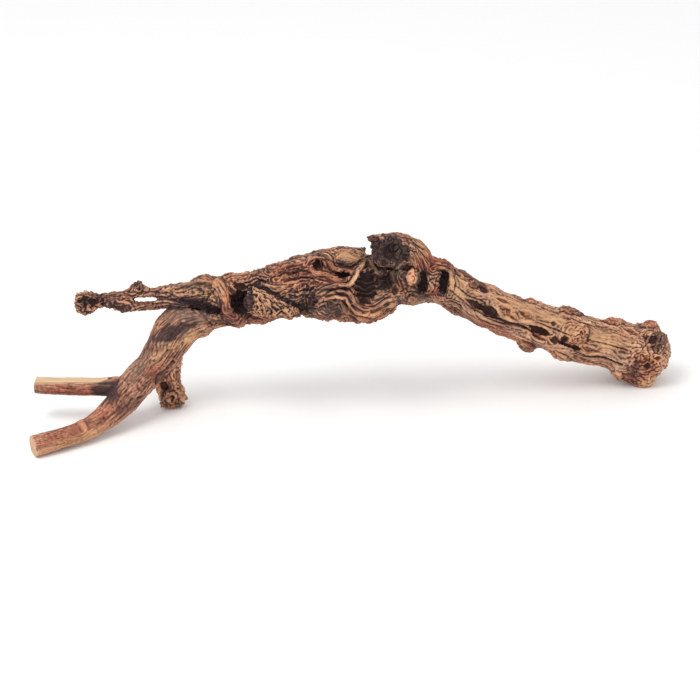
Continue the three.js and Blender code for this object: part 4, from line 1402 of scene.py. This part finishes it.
# %% Colours and a helper for nodes
PALE_TAN = (0.80, 0.56, 0.38, 1)
LIGHT_TAN = (0.57, 0.32, 0.20, 1)
TAN = (0.36, 0.172, 0.108, 1)
BROWN = (0.16, 0.073, 0.046, 1)
DARK_BROWN = (0.046, 0.02, 0.019, 1)
NEAR_BLACK = (0.011, 0.008, 0.014, 1)
REDDISH = (0.36, 0.12, 0.08, 1)
ORANGE_TAN = (0.66, 0.37, 0.18, 1)
GREY_BROWN = (0.20, 0.145, 0.11, 1)
SAWN = (0.68, 0.48, 0.29, 1)
WOOD_TONES = [
    (0.0, NEAR_BLACK), (0.1, DARK_BROWN), (0.27, BROWN), (0.45, TAN), (0.68, LIGHT_TAN),
    (0.95, PALE_TAN),
]


class Wiring:
    """A short hand for adding nodes and linking them"""

    def __init__(self, material):
        material.use_nodes = True
        self.tree = material.node_tree
        self.shader = self.tree.nodes["Principled BSDF"]

    def add(self, kind, inputs, output=0, **settings):
        node = self.tree.nodes.new(kind)
        for key, value in settings.items():
            setattr(node, key, value)
        for key, value in inputs.items():
            self.feed(node.inputs[key], value)
        return node.outputs[output]

    def feed(self, socket, value):
        if isinstance(value, bpy.types.NodeSocket):
            self.tree.links.new(value, socket)
        else:
            socket.default_value = value

    def attribute(self, name, output="Fac"):
        return self.add("ShaderNodeAttribute", {}, output, attribute_name=name)

    def math(self, operation, a, b, clamp=False):
        return self.add("ShaderNodeMath", {0: a, 1: b}, operation=operation, use_clamp=clamp)

    def mix(self, amount, a, b, blend="MIX"):
        settings = {"data_type": "RGBA", "blend_type": blend, "clamp_factor": True}
        return self.add("ShaderNodeMix", {0: amount, 6: a, 7: b}, 2, **settings)

    def streaks(self, width, length, detail=3.0):
        scale = (1 / width, 1 / width, 1 / length)
        coordinates = {0: self.attribute("grain", "Vector"), 1: scale}
        vector = self.add("ShaderNodeVectorMath", coordinates, operation="MULTIPLY")
        return self.add("ShaderNodeTexNoise", {"Vector": vector, "Scale": 1.0, "Detail": detail}, "Fac")

    def ramp(self, value, stops):
        output = self.add("ShaderNodeValToRGB", {0: value})
        elements = output.node.color_ramp.elements
        while len(elements) < len(stops):
            elements.new(0.5)
        for element, (position, colour) in zip(elements, stops):
            element.position = position
            element.color = colour
        return output


print(len(WOOD_TONES), "tones from", WOOD_TONES[0][0], "to", WOOD_TONES[-1][0])

# %% [markdown]
# The wood's material reads those attributes. A tone from light to darker comes from the painted
# shade of the grooves and from fine streaks stretched along the grain, and a colour ramp turns tone
# into wood: light tan, brown, near black. The zones then pull it towards red, light, grey, near
# black or sawn pale; the pull to near black is partly real marks and partly painted shade in the
# hollows, pits and cracks. All three slots have the same recipe, so that each can be repainted by
# itself. A photograph wrapped round the branch would be quicker, but it would stretch, repeat and
# carry its own light.

# %% The wood material
# Redness of the wood where no zone makes it warmer
REDNESS = 0.1
# Width and length in millimetres of broad and slim streaks
BROAD_STREAK, SLIM_STREAK = (2.4, 26), (0.85, 11)
# How many blotches and specks lie along a metre, and how deep the bump is in metres
BLOTCHES, SPECKS = 55.0, 900.0
BUMP_DEPTH = 0.0004


def wood(name):
    """Weathered wood, led by the attributes of the skin"""
    material = bpy.data.materials.new(name)
    wire = Wiring(material)
    broad = wire.streaks(*BROAD_STREAK)
    slim = wire.streaks(*SLIM_STREAK)
    place_now = wire.add("ShaderNodeTexCoord", {}, "Object")
    blotch = wire.add("ShaderNodeTexNoise", {"Vector": place_now, "Scale": BLOTCHES, "Detail": 4.0}, "Fac")
    speck = wire.add("ShaderNodeTexNoise", {"Vector": place_now, "Scale": SPECKS, "Detail": 2.0}, "Fac")

    # The tone attribute holds the wood's own lightness and the painted shade of grooves and hollows
    tone = wire.attribute("tone")
    for source, strength in ((broad, 1.0), (slim, 1.0), (blotch, 0.8)):
        swing = wire.math("MULTIPLY", wire.math("SUBTRACT", source, 0.5), strength)
        swing = wire.math("MULTIPLY", swing, wire.attribute("streak"))
        tone = wire.math("ADD", tone, swing, True)
    colour = wire.ramp(tone, WOOD_TONES)

    red = wire.math("MULTIPLY", wire.math("ADD", wire.attribute("warm"), REDNESS), 0.6)
    colour = wire.mix(red, colour, REDDISH, "SOFT_LIGHT")
    colour = wire.mix(wire.math("MULTIPLY", red, 0.5), colour, wire.mix(0.5, colour, REDDISH))
    bright = wire.math("MULTIPLY", wire.attribute("light"), tone)
    colour = wire.mix(bright, colour, ORANGE_TAN)
    colour = wire.mix(wire.math("MULTIPLY", wire.attribute("grey"), 0.5), colour, GREY_BROWN)
    # The pull towards near black is partly real darker marks and partly painted shade in hollows, pits and
    # cracks
    shade = wire.math("MULTIPLY", wire.attribute("dark_and_shade"), 0.9)
    colour = wire.mix(shade, colour, wire.mix(speck, NEAR_BLACK, DARK_BROWN))
    sawn = wire.mix(wire.math("MULTIPLY", wire.math("SUBTRACT", broad, 0.35), 1.6, True), SAWN, TAN)
    colour = wire.mix(wire.attribute("pale"), colour, sawn)
    wire.feed(wire.shader.inputs["Base Color"], colour)

    rough_now = wire.math("MULTIPLY_ADD", slim, 0.25)
    rough_now.node.inputs[2].default_value = 0.6
    wire.feed(wire.shader.inputs["Roughness"], rough_now)
    height = wire.math("ADD", slim, wire.math("MULTIPLY", speck, 0.5))
    bump = wire.add("ShaderNodeBump", {"Strength": 0.6, "Distance": BUMP_DEPTH, "Height": height}, "Normal")
    wire.feed(wire.shader.inputs["Normal"], bump)
    wire.shader.inputs["Specular IOR Level"].default_value = 0.3
    return material


SLOTS = {
    "weathered_wood": ["collar", "burl", "arm", "end_burl", "twig", "limb", "foot_stub"],
    "broken_dark_wood": ["broken_crown"],
    "sawn_limb_wood": ["long_prong", "split_prong"],
}
for slot_name, names in SLOTS.items():
    material = wood(slot_name)
    for name in names:
        pieces[name].data.materials.append(material)
    print(slot_name, "on", ", ".join(names))

# %% [markdown]
# A studio picture has a white table, one broad soft lamp high on the left, and bright walls that
# fill the shadows. The floor is a large plane just under the feet. The camera looks through the
# same eye as the drawing sheet.

# %% Floor, light and camera
FLOOR_HALF = 6.0
FLOOR_DROP = 0.0002
PAPER_WHITE = (0.93, 0.93, 0.93, 1)
LAMP_SPOT = (-0.6, -0.5, 1.4)
LAMP_POWER = 10.0
LAMP_SIZE = 0.7

sides = ((-1, -1), (1, -1), (1, 1), (-1, 1))
corners = np.array([(x * FLOOR_HALF, y * FLOOR_HALF, -FLOOR_DROP) for x, y in sides])
floor = add_object("floor", make_mesh("floor", corners, [(0, 1, 2, 3)]))
paper = bpy.data.materials.new("paper")
paper_inputs = Wiring(paper).shader.inputs
paper_inputs["Base Color"].default_value = PAPER_WHITE
paper_inputs["Roughness"].default_value = 0.9
floor.data.materials.append(paper)

world = bpy.data.worlds.new("studio")
world.use_nodes = True
background = world.node_tree.nodes["Background"].inputs
background["Color"].default_value = (1.0, 1.0, 1.0, 1)
background["Strength"].default_value = 0.95
bpy.context.scene.world = world

lamp = add_object("high_left", bpy.data.lights.new("high_left", "AREA"))
lamp.data.energy = LAMP_POWER
lamp.data.size = LAMP_SIZE
lamp.data.color = (1.0, 0.98, 0.95)
lamp.location = LAMP_SPOT
# It looks at the middle of the table, under the branch
x, y, z = -np.array(LAMP_SPOT)
lamp.rotation_euler = (math.atan2(math.hypot(x, y), -z), 0, math.atan2(y, x) - math.pi / 2)

bpy.context.scene.view_settings.view_transform = "Standard"
camera_data = bpy.data.cameras.new("camera")
camera_data.lens = 100.0
camera_data.sensor_width = 36.0
camera = add_object("camera", camera_data)
camera.location = eye * METRES
camera.rotation_euler = (math.pi / 2 - VIEW_TILT, 0, 0)
bpy.context.scene.camera = camera
print("camera at", [round(c, 3) for c in camera.location])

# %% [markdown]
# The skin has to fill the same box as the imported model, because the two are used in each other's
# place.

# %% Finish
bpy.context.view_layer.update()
